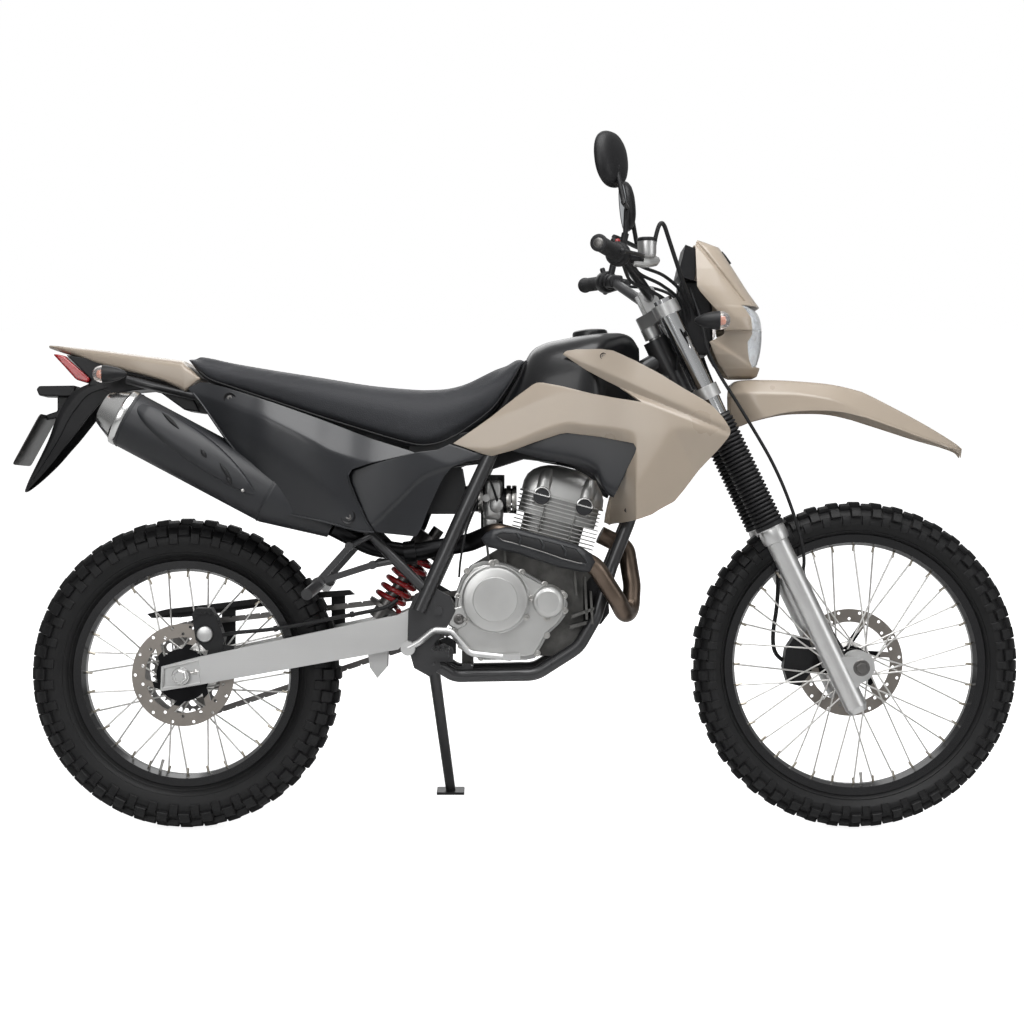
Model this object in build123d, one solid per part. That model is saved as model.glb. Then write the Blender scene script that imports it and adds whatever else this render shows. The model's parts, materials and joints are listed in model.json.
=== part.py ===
from build123d import *
import os
from math import acos, atan2, cos, hypot, pi, radians, sin, tan

# A dual sport motorcycle that rests on its side stand. Millimetres.
# It is modelled upright in the bike frame: +X forward, +Y to the rider's left, +Z up, with the
# rear axle at x = 0 and the ground at z = 0. At the end everything leans onto the side stand,
# and the origin moves to the floor under the middle of the whole.

# ---------------------------------------------------------------- driving dimensions
LEAN = 9.0                       # degrees, towards the left, when parked
REAR_TYRE_R, REAR_TYRE_HALF, REAR_LUGS = 332.0, 62.0, 36            # to the tips of the lugs
FRONT_TYRE_R, FRONT_TYRE_HALF, FRONT_LUGS = 350.0, 47.0, 40
CROWN_HALF, CROWN_DROP = 22.0, 2.0              # a crown lug's half width and how low its edges lie
REAR_SEAT_R, FRONT_SEAT_R = 228.5, 266.7        # bead seats of 18 and 21 inch rims
REAR_RIM_HALF, FRONT_RIM_HALF = 33.0, 26.0
FLANGE_H = 12.0                  # rim flange above the bead seat
HEAD_X, HEAD_Z, RAKE = 1028.7, 990.0, 25.5      # middle of the steering head, and its angle
CLAMP_OFFSET, AXLE_LEAD, LEG_Y = 40.0, 44.0, 100.0
PIVOT_X, PIVOT_Z = 541.0, 470.0                 # swingarm pivot
AXLE_R, AXLE_FIT = 9.0, 0.08                    # both axles, and the running gap in the hubs
STEM_R, HEAD_TUBE_R, HEAD_BORE_R = 13.0, 27.0, 19.0
HEAD_LOW, HEAD_HIGH = -70.0, 62.0               # ends of the head tube along the steering axis
CLAMP_LOW, CLAMP_TOP, CLAMP_H = -103.0, 92.0, 27.0
FORK_TUBE_R, FORK_LEG_R, GAITER_R = 20.5, 23.5, 32.0
LEG_TOP, LEG_END, TUBE_TOP = -400.0, -832.0, 128.0
BAR_R, BAR_BORE_R, BAR_END_DEPTH = 11.0, 7.5, 40.0
GRIP_R, GRIP_LENGTH = 16.0, 125.0
TUBE_R, UPRIGHT_R, RAIL_R = 14.0, 15.0, 11.0    # cradle, uprights and seat rails of the frame
BACKBONE_R = 22.0
PIPE_R, MIDPIPE_R = 19.0, 21.0                  # exhaust, in front of and behind the shield
SILENCER_R, SILENCER_Y, SILENCER_SLOPE = 60.0, -127.0, 28.0
PANEL = 5.0                      # thickness of the body panels
DISC_T = 4.0
REAR_DISC_R, REAR_DISC_Y = 108.0, -74.0
FRONT_DISC_R, FRONT_DISC_Y = 116.0, 54.0
CHAIN_Y, CHAIN_W, CHAIN_PITCH = 74.0, 14.0, 15.875
SPROCKET_R, SPROCKET_T, TEETH = 90.0, 6.0, 38
DRIVE_X, DRIVE_Z, DRIVE_R = 598.0, 465.0, 29.0  # front sprocket
CHAIN_GAP, DRIVE_GAP, CHAIN_H = 5.0, 2.0, 12.0
ARM_IN, ARM_OUT = 82.0, 106.0    # inner and outer faces of the swingarm's arms
PLATE_IN, PLATE_OUT = 108.0, 120.0              # the frame's pivot plates
CASE_HALF = 65.0                 # half width of the crankcase between the cradle tubes
CYLINDER_TILT = 14.7             # degrees that the cylinder leans forward
STAND_PIVOT = (520.0, 122.0, 340.0)             # where the side stand turns, and about what
STAND_AXIS = (0.0, 0.953, 0.303)
STAND_FOOT_X, STAND_FOOT_Y, STAND_R = 556.0, 268.0, 13.0
STAND_PIN_R, STAND_HEAD_R = 6.0, 11.0           # the pin it turns on
STAND_EYE_IN, STAND_EYE_OUT = 9.0, 27.0         # where its eye sits on the pin
CALIPER_GAP = 5.0                # between a disc and its caliper's inner faces
PLATE_TOP, PLATE_FOOT, PLATE_T = (-299.0, 0.0, 884.0), (-358.0, 0.0, 776.0), 3.0
PLATE_BOLT_Y, PLATE_BOLT_R = 50.0, 3.3          # the two bolts that hold the plate
HOSE_R, CABLE_R = 4.5, 3.5
MIRROR_W, MIRROR_H = 100.0, 116.0               # a mirror's glass, across and up
# each mirror: its side, the middle of its glass, the way across the glass and the way its back faces
MIRRORS = [(1, (888, -302, 1384), (-0.62, -0.78, 0.0), (0.78, -0.62, 0.12)),
           (-1, (948, 300, 1374), (-0.12, 0.99, 0.0), (0.98, 0.12, 0.10))]
BIG = 400.0                      # reach of a tool that cuts right across

# ---------------------------------------------------------------- derived places
SIN, COS = sin(radians(RAKE)), cos(radians(RAKE))
UP, FWD = Vector(-SIN, 0, COS), Vector(COS, 0, SIN)
HEAD = Vector(HEAD_X, 0, HEAD_Z)
AXLE_OUT = CLAMP_OFFSET + AXLE_LEAD
AXLE_DROP = (HEAD_Z + AXLE_OUT * SIN - FRONT_TYRE_R) / COS
REAR_AXLE = Vector(0, 0, REAR_TYRE_R)
GROUND_DROP = CROWN_HALF * tan(radians(LEAN)) - CROWN_DROP


def steer(up, forward=0.0, y=0.0):
    """A point by its distance up the steering axis from the head, forward of it and to the left."""
    return HEAD + UP * up + FWD * forward + Vector(0, y, 0)


FRONT_AXLE = steer(-AXLE_DROP, AXLE_OUT)
STEERED = Plane(origin=HEAD, x_dir=FWD, z_dir=UP)


# ---------------------------------------------------------------- shape helpers
def slab(points, offset):
    """The flat face of a closed outline, carried by the offset vector."""
    return Solid.extrude(Face(Wire.make_polygon(points, close=True)), Vector(*offset))


def prism(points, y0, y1):
    """A side outline of (x, z) points carried across from y0 to y1."""
    return slab([(x, y0, z) for x, z in points], (0, y1 - y0, 0))


def plan(points, z0, z1):
    """A plan outline of (x, y) points carried up from z0 to z1."""
    return slab([(x, y, z0) for x, y in points], (0, 0, z1 - z0))


def three_view(side, widths, heights):
    """A body from its side outline, its half widths along x and its half widths up z."""
    x0, x1 = min(x for x, z in side) - 1, max(x for x, z in side) + 1
    z0, z1 = min(z for x, z in side) - 1, max(z for x, z in side) + 1
    body = prism(side, -BIG, BIG)
    above = plan([(x, -w) for x, w in widths] + [(x, w) for x, w in reversed(widths)], z0, z1)
    ahead = slab([(x0, -w, z) for z, w in heights] + [(x0, w, z) for z, w in reversed(heights)],
                 (x1 - x0, 0, 0))
    return only(body & above & ahead)


def panel(outline, wall, thick=PANEL):
    """A right-hand panel: its side outline on a wall of (x, distance outwards) points."""
    face = [(x, -y) for x, y in wall] + [(x, thick - y) for x, y in reversed(wall)]
    z0, z1 = min(z for x, z in outline) - 1, max(z for x, z in outline) + 1
    return only(prism(outline, -BIG, 0) & plan(face, z0, z1))


def rod(a, b, r, r2=None):
    """A round bar from a to b, tapering to r2 if it is given."""
    a, b = Vector(*a), Vector(*b)
    at = Plane(origin=a, z_dir=b - a)
    if r2 is None:
        return Solid.make_cylinder(r, (b - a).length, at)
    return Solid.make_cone(r, r2, (b - a).length, at)


def ring(a, b, r_out, r_in):
    """A round tube from a to b."""
    a, b = Vector(*a), Vector(*b)
    over = (b - a).normalized()
    return only(rod(a, b, r_out) - rod(a - over, b + over, r_in))


def across(x, z, r, y0, y1):
    """A round bar that lies across the bike."""
    return rod((x, y0, z), (x, y1, z), r)


def block(x0, x1, y0, y1, z0, z1):
    return Solid.make_box(x1 - x0, y1 - y0, z1 - z0, Plane(origin=(x0, y0, z0)))


def bar(a, b, width, thick):
    """A flat bar from a to b whose thickness lies across the bike."""
    a, b = Vector(*a), Vector(*b)
    at = Plane(origin=a, x_dir=b - a, z_dir=(b - a).cross(Vector(0, 1, 0)))
    corner = a - at.y_dir * (thick / 2) - at.z_dir * (width / 2)
    return Solid.make_box((b - a).length, thick, width, Plane(corner, at.x_dir, at.z_dir))


def tube(points, r, bends):
    """A round tube along straight runs joined by arcs of the given radii."""
    a, b = Vector(*points[0]), Vector(*points[1])
    path = FilletPolyline(*points, radius=bends)
    return only(sweep(Plane(origin=a, z_dir=b - a) * Circle(r), path=path))


def belt(a, ra, b, rb):
    """The length of a belt round two circles, each a centre (x, z) and a radius, and where it runs."""
    span = hypot(b[0] - a[0], b[1] - a[1])
    way, spread = atan2(b[1] - a[1], b[0] - a[0]), acos((ra - rb) / span)
    run, front_arc, rear_arc = span * sin(spread), 2 * spread * rb, 2 * (pi - spread) * ra

    def at(distance, lift=0.0):
        """A point by its distance along the belt from the top of the first circle, lifted off it."""
        if distance < run:
            centre, radius, angle, on = a, ra, way + spread, distance
        elif distance < run + front_arc:
            centre, radius, angle, on = b, rb, way + spread - (distance - run) / rb, 0.0
        elif distance < 2 * run + front_arc:
            centre, radius, angle, on = b, rb, way - spread, distance - run - front_arc
        else:
            centre, radius, angle, on = a, ra, way - spread - (distance - 2 * run - front_arc) / ra, 0.0
        return (centre[0] + (radius + lift) * cos(angle) + on * sin(angle),
                centre[1] + (radius + lift) * sin(angle) - on * cos(angle))

    return 2 * run + front_arc + rear_arc, at


def turned(profile, centre):
    """A closed (radius, y) outline turned about the lateral axis through the centre."""
    face = Face(Wire.make_polygon([(r, y, 0) for r, y in profile], close=True))
    return Solid.revolve(face, 360, Axis.Y).moved(Location(centre))


def about_axle(points):
    """An outline given by heights above the rear axle, as (x, z) points."""
    return [(x, REAR_TYRE_R + height) for x, height in points]


def above_chain(points):
    """An outline given by heights above the chain's upper run, as (x, z) points."""
    rear = REAR_TYRE_R + SPROCKET_R + CHAIN_GAP + CHAIN_H
    front = DRIVE_Z + DRIVE_R + DRIVE_GAP + CHAIN_H
    return [(x, rear + (front - rear) * x / DRIVE_X + height) for x, height in points]


def only(shape):
    """The one solid of a shape."""
    solids = shape.solids()
    return max(solids, key=lambda solid: solid.volume)


def solids_of(*shapes):
    return [solid for shape in shapes for solid in shape.solids()]


def fused(*shapes):
    """One solid from pieces that meet."""
    first, *rest = solids_of(*shapes)
    return only(first.fuse(*rest)) if rest else first


def mirrored(shape):
    return shape.mirror(Plane.XZ)


def both(*shapes):
    """Right-hand pieces and their mirror images."""
    return solids_of(*shapes, *[mirrored(shape) for shape in shapes])


def group(*shapes):
    return Compound(children=solids_of(*shapes))


# ---------------------------------------------------------------- wheels
def polyhedron(faces):
    """A solid closed by flat faces, each a list of points."""
    return Solid(Shell([Face(Wire.make_polygon(points, close=True)) for points in faces]))


def tyre(centre, r, half, seat, rim_half, lugs):
    """A tyre in flat facets, where a slot with two shoulder lugs and one with a crown lug take turns."""
    slots = 2 * lugs
    bead, seat = rim_half - 5.2, seat / cos(pi / slots)
    sidewall = [(seat, bead), (seat + 13, bead), ((seat + r) / 2, half)]
    foot, bare = (r - 15.5, half * 0.56), (r - 30, half * 0.9)
    shoulder_lug = [(r - 18, half * 0.9), (r - 8, half * 0.62)]
    crown_tip = ((r - CROWN_DROP) / cos(pi / slots), CROWN_HALF)
    shoulder, crown = sidewall + shoulder_lug + [foot], sidewall + [bare, foot, crown_tip]

    def at(point, turn):
        return centre + Vector(point[0] * sin(turn), point[1], point[0] * cos(turn))

    def other(points):
        return [(a, -y) for a, y in reversed(points)]

    faces = []
    for k in range(slots):
        turn, after = 2 * pi * (k - 0.5) / slots, 2 * pi * (k + 0.5) / slots
        side = crown if (k + lugs) % 2 == 0 else shoulder
        loop = side + other(side)
        for p, q in zip(loop, loop[1:] + loop[:1]):
            faces.append([at(p, turn), at(q, turn), at(q, after), at(p, after)])
        lug_end = [sidewall[-1], *shoulder_lug, foot, bare]
        for outline in (lug_end, other(lug_end), [foot, crown_tip] + other([foot, crown_tip])):
            faces.append([at(p, after) for p in outline])
    return polyhedron(faces)


def rim(centre, seat, half):
    """A drop-centre rim with a flange on each side."""
    well = seat - 11
    side = [(seat + FLANGE_H, half), (seat + FLANGE_H, half - 5), (seat, half - 5),
            (seat - 2, half - 13), (well + 4, half * 0.3)]
    back = [(seat - 5, half), (well, half * 0.36)]
    loop = side + [(a, -y) for a, y in reversed(side)]
    return turned(loop + [(a, -y) for a, y in back] + back[::-1], centre)


def spoked_hub(centre, seat, count, flange_y, flange_r, profile, lead, spoke_r=1.9):
    """A hub with its spokes, which leave the two flanges by turns and slope both ways."""
    spokes = []
    for k in range(count):
        side = 1 if k % 2 else -1
        way = 1 if (k // 2) % 2 else -1
        at_rim = 2 * pi * k / count
        at_hub = at_rim - way * radians(lead)
        foot = Vector(sin(at_hub), 0, cos(at_hub)) * (flange_r - 4)
        head = Vector(sin(at_rim), 0, cos(at_rim)) * (seat - 9)
        out = Vector(0, side, 0)
        spokes.append(rod(centre + foot + out * (flange_y + way * 1.6), centre + head + out * 4, spoke_r))
    return fused(turned(profile, centre), *spokes)


def rotor(centre, r_out, r_in, ring_r, hole_r, y, arms, holes):
    """A brake disc: a drilled outer ring on swept arms from a bolted inner ring."""
    low, high = centre + Vector(0, y - DISC_T / 2, 0), centre + Vector(0, y + DISC_T / 2, 0)
    mid = (low + high) / 2
    pieces = [ring(low, high, r_out, r_in), ring(low, high, ring_r, hole_r)]
    for k in range(arms):
        turn = 2 * pi * k / arms
        a = mid + Vector(sin(turn), 0, cos(turn)) * (ring_r - 6)
        b = mid + Vector(sin(turn + 0.35), 0, cos(turn + 0.35)) * (r_in + 4)
        pieces.append(bar(a, b, 12, DISC_T))
    drill = []
    for k in range(holes):
        turn = 2 * pi * k / holes
        reach = (r_out + r_in) / 2 + (7 if k % 2 else -7)
        at = mid + Vector(sin(turn), 0, cos(turn)) * reach
        drill.append(across(at.X, at.Z, 3.4, at.Y - DISC_T, at.Y + DISC_T))
    return only(fused(*pieces).cut(*drill))


def front_wheel():
    bore = AXLE_R + AXLE_FIT
    face = FRONT_DISC_Y - DISC_T / 2
    hub = [(bore, -38), (22, -38), (22, -33), (36, -32), (36, -27), (22, -24), (22, 24), (36, 27),
           (36, 32), (46, 36), (46, face), (bore, face)]
    return {
        "front_tyre": tyre(FRONT_AXLE, FRONT_TYRE_R, FRONT_TYRE_HALF, FRONT_SEAT_R, FRONT_RIM_HALF,
                           FRONT_LUGS),
        "front_rim": rim(FRONT_AXLE, FRONT_SEAT_R, FRONT_RIM_HALF),
        "front_hub": spoked_hub(FRONT_AXLE, FRONT_SEAT_R, 36, 29.5, 36.0, hub, 60.0),
        "front_disc": rotor(FRONT_AXLE, FRONT_DISC_R, 88.0, 46.0, 24.0, FRONT_DISC_Y, 6, 30),
    }


def rear_wheel():
    bore = AXLE_R + AXLE_FIT
    disc_face, chain_face = REAR_DISC_Y + DISC_T / 2, CHAIN_Y - SPROCKET_T / 2
    hub = [(bore, disc_face), (44, disc_face), (44, -62), (30, -56), (28, -38), (44, -35),
           (44, -29), (28, -26), (28, 26), (44, 29), (44, 35), (60, 42), (60, chain_face),
           (bore, chain_face)]
    notches = ((0.0, 6), (0.3, 5), (0.42, 0), (0.58, 0), (0.7, 5))      # share of a tooth, depth
    teeth = [(2 * pi * (k + share) / TEETH, SPROCKET_R - depth)
             for k in range(TEETH) for share, depth in notches]
    sprocket = prism([(r * sin(a), REAR_TYRE_R + r * cos(a)) for a, r in teeth],
                     chain_face, chain_face + SPROCKET_T)
    windows = [across(70 * sin(pi * k / 4), REAR_TYRE_R + 70 * cos(pi * k / 4), 9, chain_face - 1,
                      chain_face + SPROCKET_T + 1) for k in range(8)]
    centre_hole = across(0, REAR_TYRE_R, 30, chain_face - 1, chain_face + SPROCKET_T + 1)
    return {
        "rear_tyre": tyre(REAR_AXLE, REAR_TYRE_R, REAR_TYRE_HALF, REAR_SEAT_R, REAR_RIM_HALF,
                          REAR_LUGS),
        "rear_rim": rim(REAR_AXLE, REAR_SEAT_R, REAR_RIM_HALF),
        "rear_hub": spoked_hub(REAR_AXLE, REAR_SEAT_R, 32, 32.0, 44.0, hub, 55.0),
        "rear_disc": rotor(REAR_AXLE, REAR_DISC_R, 80.0, 56.0, 28.0, REAR_DISC_Y, 6, 28),
        "rear_sprocket": only(sprocket.cut(centre_hole, *windows)),
    }


# ---------------------------------------------------------------- steering
def bar_points():
    """The handlebar's corners from its right end to its left end."""
    right = [(865, -405, 1205), (922, -235, 1196.5), (985, -85, 1132)]
    return right + [(x, -y, z) for x, y, z in reversed(right)]


def along_bar(distance, ahead=0.0, above=0.0):
    """A point by its distance along the bar from its right end, ahead of it and above it."""
    a, b = Vector(*bar_points()[0]), Vector(*bar_points()[1])
    return a + (b - a).normalized() * distance + Vector(ahead, 0, above)


def clamp(up, bar_tower):
    """A fork clamp: a yoke round both fork tubes, in the steering frame."""
    half = [(-18, 14), (24, 62), (18, 92), (18, 108), (62, 108), (62, 84), (56, 40)]
    outline = [(x, -y) for x, y in half] + [(x, y) for x, y in reversed(half)]
    pieces = [plan(outline, up, up + CLAMP_H)]
    for y in (-LEG_Y, LEG_Y):
        pieces.append(rod((CLAMP_OFFSET, y, up), (CLAMP_OFFSET, y, up + CLAMP_H), FORK_TUBE_R + 8))
        if bar_tower:
            side = 42 if y > 0 else -42
            pieces.append(block(4, 40, side - 13, side + 13, up + CLAMP_H, up + CLAMP_H + 46))
    return fused(*pieces)


def steering():
    """All that turns with the handlebar, apart from the front wheel."""
    local = fused(clamp(CLAMP_LOW, False), clamp(CLAMP_TOP, True),
                  rod((0, 0, CLAMP_LOW), (0, 0, CLAMP_TOP + 10), STEM_R),
                  rod((0, 0, HEAD_HIGH + 5), (0, 0, CLAMP_TOP), 20))
    legs = [rod((CLAMP_OFFSET, y, CLAMP_LOW - 5), (CLAMP_OFFSET, y, TUBE_TOP + 5), FORK_TUBE_R)
            for y in (-LEG_Y, LEG_Y)]
    clamps = only(local.cut(*legs)).moved(STEERED.location)
    handlebar = tube(bar_points(), BAR_R, [60, 50, 50, 60])
    clamps = only(clamps.cut(handlebar))
    ends = [rod(along_bar(-1), along_bar(BAR_END_DEPTH), BAR_BORE_R)]
    handlebar = only(handlebar.cut(*both(*ends)))

    tubes, gaiters, lowers = [], [], []
    for y in (-LEG_Y, LEG_Y):
        tubes.append(rod(steer(LEG_TOP - 60, CLAMP_OFFSET, y), steer(TUBE_TOP, CLAMP_OFFSET, y), FORK_TUBE_R))
        gaiters.append(gaiter(y))
        lowers.append(fork_leg(y))
    axle = across(FRONT_AXLE.X, FRONT_AXLE.Z, AXLE_R, -LEG_Y - 16, LEG_Y + 16)
    drive = across(FRONT_AXLE.X, FRONT_AXLE.Z, 34, -LEG_Y + 20, -43)
    spacer = across(FRONT_AXLE.X, FRONT_AXLE.Z, 14, FRONT_DISC_Y + DISC_T / 2 + 1, LEG_Y - 19)
    lowers = fused(*lowers, axle, drive, spacer)
    grip = ring(along_bar(0), along_bar(GRIP_LENGTH), GRIP_R, BAR_R)
    controls = hand_controls(handlebar, clamps)
    cowl, lens, instrument, signals = headlight(clamps)
    fender = front_fender(clamps)
    caliper = front_caliper(lowers)
    hose, cable = front_cables()
    parts = {
        "triple_clamps": clamps,
        "fork_tubes": group(*tubes),
        "fork_gaiters": group(*gaiters),
        "fork_lowers": lowers,
        "handlebar": handlebar,
        "grips": group(*both(grip)),
        "hand_controls": controls,
        "mirrors": group(*[only(s.cut(controls)) for s in mirrors()]),
        "front_fender": fender,
        "headlight_cowl": cowl,
        "headlight_lens": lens,
        "front_signals": signals,
        "instrument": instrument,
        "front_caliper": caliper,
        "front_cables": group(hose.cut(caliper, controls), cable.cut(instrument, lowers)),
    }
    return parts


def gaiter(y, folds=15, low=-398.0, high=-146.0):
    """A bellows round one fork tube, closed onto the tube at its upper end."""
    step = (high - low) / folds
    outer = [(GAITER_R if k % 2 else GAITER_R - 5, low + k * step / 2) for k in range(2 * folds + 1)]
    inner = [(r - 3, z) for r, z in reversed(outer[1:-1])]
    loop = outer + [(FORK_TUBE_R, high)] + [(FORK_TUBE_R, high - 6)] + inner[1:] + [(outer[0][0] - 3, low)]
    face = Face(Wire.make_polygon([(r, 0, z) for r, z in loop], close=True))
    shape = Solid.revolve(face, 360, Axis.Z)
    return shape.moved(Location((CLAMP_OFFSET, y, 0))).moved(STEERED.location)


def fork_leg(y):
    """A fork slider with its axle lug, bored for the fork tube."""
    out = 1 if y > 0 else -1
    at = (CLAMP_OFFSET, y)
    pieces = [
        rod((*at, LEG_END + 12), (*at, LEG_TOP), FORK_LEG_R),
        rod((*at, LEG_END), (*at, LEG_END + 12), FORK_LEG_R - 5, FORK_LEG_R),
        rod((*at, LEG_TOP - 30), (*at, LEG_TOP), FORK_LEG_R, FORK_LEG_R + 5),
        rod((AXLE_OUT, y - 19 * out, -AXLE_DROP), (AXLE_OUT, y + 12 * out, -AXLE_DROP), 21),
        slab([(CLAMP_OFFSET, y - 17, -AXLE_DROP - 42), (AXLE_OUT + 14, y - 17, -AXLE_DROP - 15),
              (AXLE_OUT + 14, y - 17, -AXLE_DROP + 15), (CLAMP_OFFSET, y - 17, -AXLE_DROP + 48)],
             (0, 29, 0)),
    ]
    bore = rod((*at, LEG_TOP - 60), (*at, LEG_TOP + 1), FORK_TUBE_R)
    return only(fused(*pieces).cut(bore)).moved(STEERED.location)


def hand_controls(handlebar, clamps):
    """The switches, levers and their perches, with the brake's master cylinder on the right."""
    housing = ring(along_bar(GRIP_LENGTH + 2), along_bar(GRIP_LENGTH + 30), 22, BAR_R)
    perch = ring(along_bar(GRIP_LENGTH + 31), along_bar(GRIP_LENGTH + 51), 17, BAR_R)
    arm = rod(along_bar(GRIP_LENGTH + 41, 14), along_bar(GRIP_LENGTH + 41, 44, -4), 9)
    lever = tube([along_bar(GRIP_LENGTH + 46, 36, -3), along_bar(GRIP_LENGTH - 20, 54, -8),
                  along_bar(4, 48, -16)], 5, [60])
    tip = along_bar(4, 48, -16)
    ball = Solid.make_sphere(7).moved(Location(tip))
    stalk = rod(along_bar(GRIP_LENGTH + 41, 0, 12), along_bar(GRIP_LENGTH + 41, 8, 46), 7)
    hand = fused(housing, perch, arm, lever, ball, stalk)
    master = fused(rod((940, -236, 1214), (985, -196, 1222), 12), block(955, 1000, -232, -186, 1226, 1252),
                   rod((978, -206, 1222), (978, -206, 1230), 10), rod((930, -240, 1200), (945, -232, 1216), 11))
    right = only(fused(hand, master).cut(handlebar))
    left = only(mirrored(hand).cut(handlebar))
    return group(right, left)


def mirrors():
    """Two oval mirrors, each turned its own way on a bent stalk."""
    foot = along_bar(GRIP_LENGTH + 41, 8, 46)
    heads = []
    for side, centre, across_head, facing in MIRRORS:
        foot_here = Vector(foot.X, foot.Y * side, foot.Z)
        centre, facing = Vector(*centre), Vector(*facing)
        back = centre + facing.normalized() * 20
        stalk = tube([foot_here, foot_here + Vector(2, -4 * side, 46), back + Vector(14, 18 * side, -84),
                      back + Vector(0, 0, -16)], 5, [18, 18])
        at = Plane(origin=centre, x_dir=across_head, z_dir=facing)
        head = at * extrude(Ellipse(MIRROR_W / 2, MIRROR_H / 2), amount=24, taper=16)
        heads.append(fused(head, stalk))
    return heads


def headlight(clamps):
    """The cowl with its lamp glass, the instrument behind it and the signals beside it."""
    side = [(1083, 1245), (1092, 1256), (1140, 1240), (1150, 1225), (1190, 1160), (1222, 1115),
            (1228, 1106), (1228, 1080), (1232, 1050), (1228, 1010), (1220, 985), (1225, 970),
            (1222, 963), (1210, 961), (1154, 964), (1130, 993), (1110, 1037), (1144, 1052),
            (1139, 1086), (1090, 1140), (1083, 1149)]
    widths = [(1083, 110), (1140, 110), (1180, 98), (1212, 76), (1233, 44)]
    heights = [(961, 62), (990, 92), (1052, 110), (1150, 106), (1210, 84), (1256, 52)]
    outer = three_view(side, widths, heights)
    inner = outer.scale(0.94, about=(1040, 0, 1100))
    glass_side = [(1180, 990), (1240, 990), (1240, 1106), (1180, 1106)]
    glass_zone = prism(glass_side, -74, 74)
    lens = only(outer & glass_zone)
    lens = only(lens - outer.scale(0.965, about=(1040, 0, 1100)))
    cowl = only(outer - inner - glass_zone)
    stay = both(bar((1050, -60, 1094), (1140, -60, 1094), 16, 4))
    cowl_stay = fused(*[s for s in stay])
    signals = []
    body = rod((1100, -172, 1090), (1160, -172, 1090), 17, 20)
    stem = rod((1118, -100, 1088), (1118, -160, 1090), 7)
    signals = both(only(fused(body, stem).cut(outer)))
    instrument = fused(prism([(1046, 1176), (1080, 1166), (1092, 1230), (1062, 1242)], -70, 70),
                       prism([(1040, 1120), (1052, 1120), (1072, 1180), (1060, 1184)], -20, 20))
    instrument = only(instrument.cut(clamps, outer))
    return cowl, lens, instrument, group(*signals)


def front_fender(clamps):
    """The high front fender, a channel open below, on a bridge under the lower clamp."""
    side = [(1160, 950), (1175, 958), (1200, 961), (1300, 956), (1400, 948), (1430, 940), (1500, 907),
            (1600, 853), (1650, 822), (1657, 815), (1650, 813), (1600, 822), (1550, 841), (1500, 858),
            (1450, 874), (1400, 889), (1350, 895), (1300, 893), (1250, 882), (1210, 870), (1180, 858)]
    widths = [(1160, 62), (1200, 84), (1400, 86), (1500, 74), (1600, 46), (1658, 18)]
    heights = [(812, 90), (932, 88), (950, 66), (962, 36)]
    outer = three_view(side, widths, heights)
    within = [(x, w - 4) for x, w in widths]
    below = [(z - 4, w - 4) for z, w in heights]
    lower = [(x, z - 4) for x, z in side[:10]] + [(1657, 780), (1150, 780), (1150, 946)]
    shell = only(outer - three_view(lower, within, [(780, 90)] + below[1:]))
    bridge = bar((1100, 0, 908), (1190, 0, 952), 12, 60)
    return only(fused(shell, only(bridge & block(1100, 1200, -40, 40, 880, 957.0))).cut(clamps))


def front_cables():
    """The brake hose down the left fork leg and the speedometer cable down the right one."""
    hose = tube([(990, -202, 1240), (1004, -194, 1296), (1040, -156, 1288), (1074, -96, 1160),
                 (1098, -40, 1100), (1101, 46, 1068), steer(-20, 79, 100), steer(-386, 79, 100),
                 steer(-450, 56, 67), steer(-560, 6, 66), (1260, 67, 400), (1272, 70, 356),
                 (1300, 72, 348)], HOSE_R, [16, 16, 30, 40, 40, 30, 60, 40, 40, 60, 20])
    cable = tube([(1066, -40, 1180), (1074, -50, 1150), (1098, -88, 1070), (1108, -100, 1000),
                  (1185, -101, 880), (1262, -93, 750), (1318, -68, 590), (1306, -64, 528),
                  (1396, -62, 384)], CABLE_R, [14, 40, 90, 120, 120, 60, 60])
    return hose, cable


def front_caliper(lowers):
    """The front brake caliper behind the left fork leg, astride the disc."""
    low = FRONT_DISC_Y - DISC_T / 2 - CALIPER_GAP
    high = FRONT_DISC_Y + DISC_T / 2 + CALIPER_GAP
    outline = [(FRONT_AXLE.X + x, FRONT_AXLE.Z + z)
               for x, z in ((-135, -44), (-109, -50), (-85, -20), (-79, 22), (-91, 52), (-119, 60),
                            (-139, 30), (-145, -10))]
    body = prism(outline, low - 14, high + 18)
    swept = across(FRONT_AXLE.X, FRONT_AXLE.Z, FRONT_DISC_R + CALIPER_GAP, low, high)
    bracket = bar(FRONT_AXLE + Vector(-91, 86, 2), FRONT_AXLE + Vector(-47, 86, 2), 40, 14)
    return only(only(fused(only(body - swept), bracket)).cut(lowers))


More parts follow.
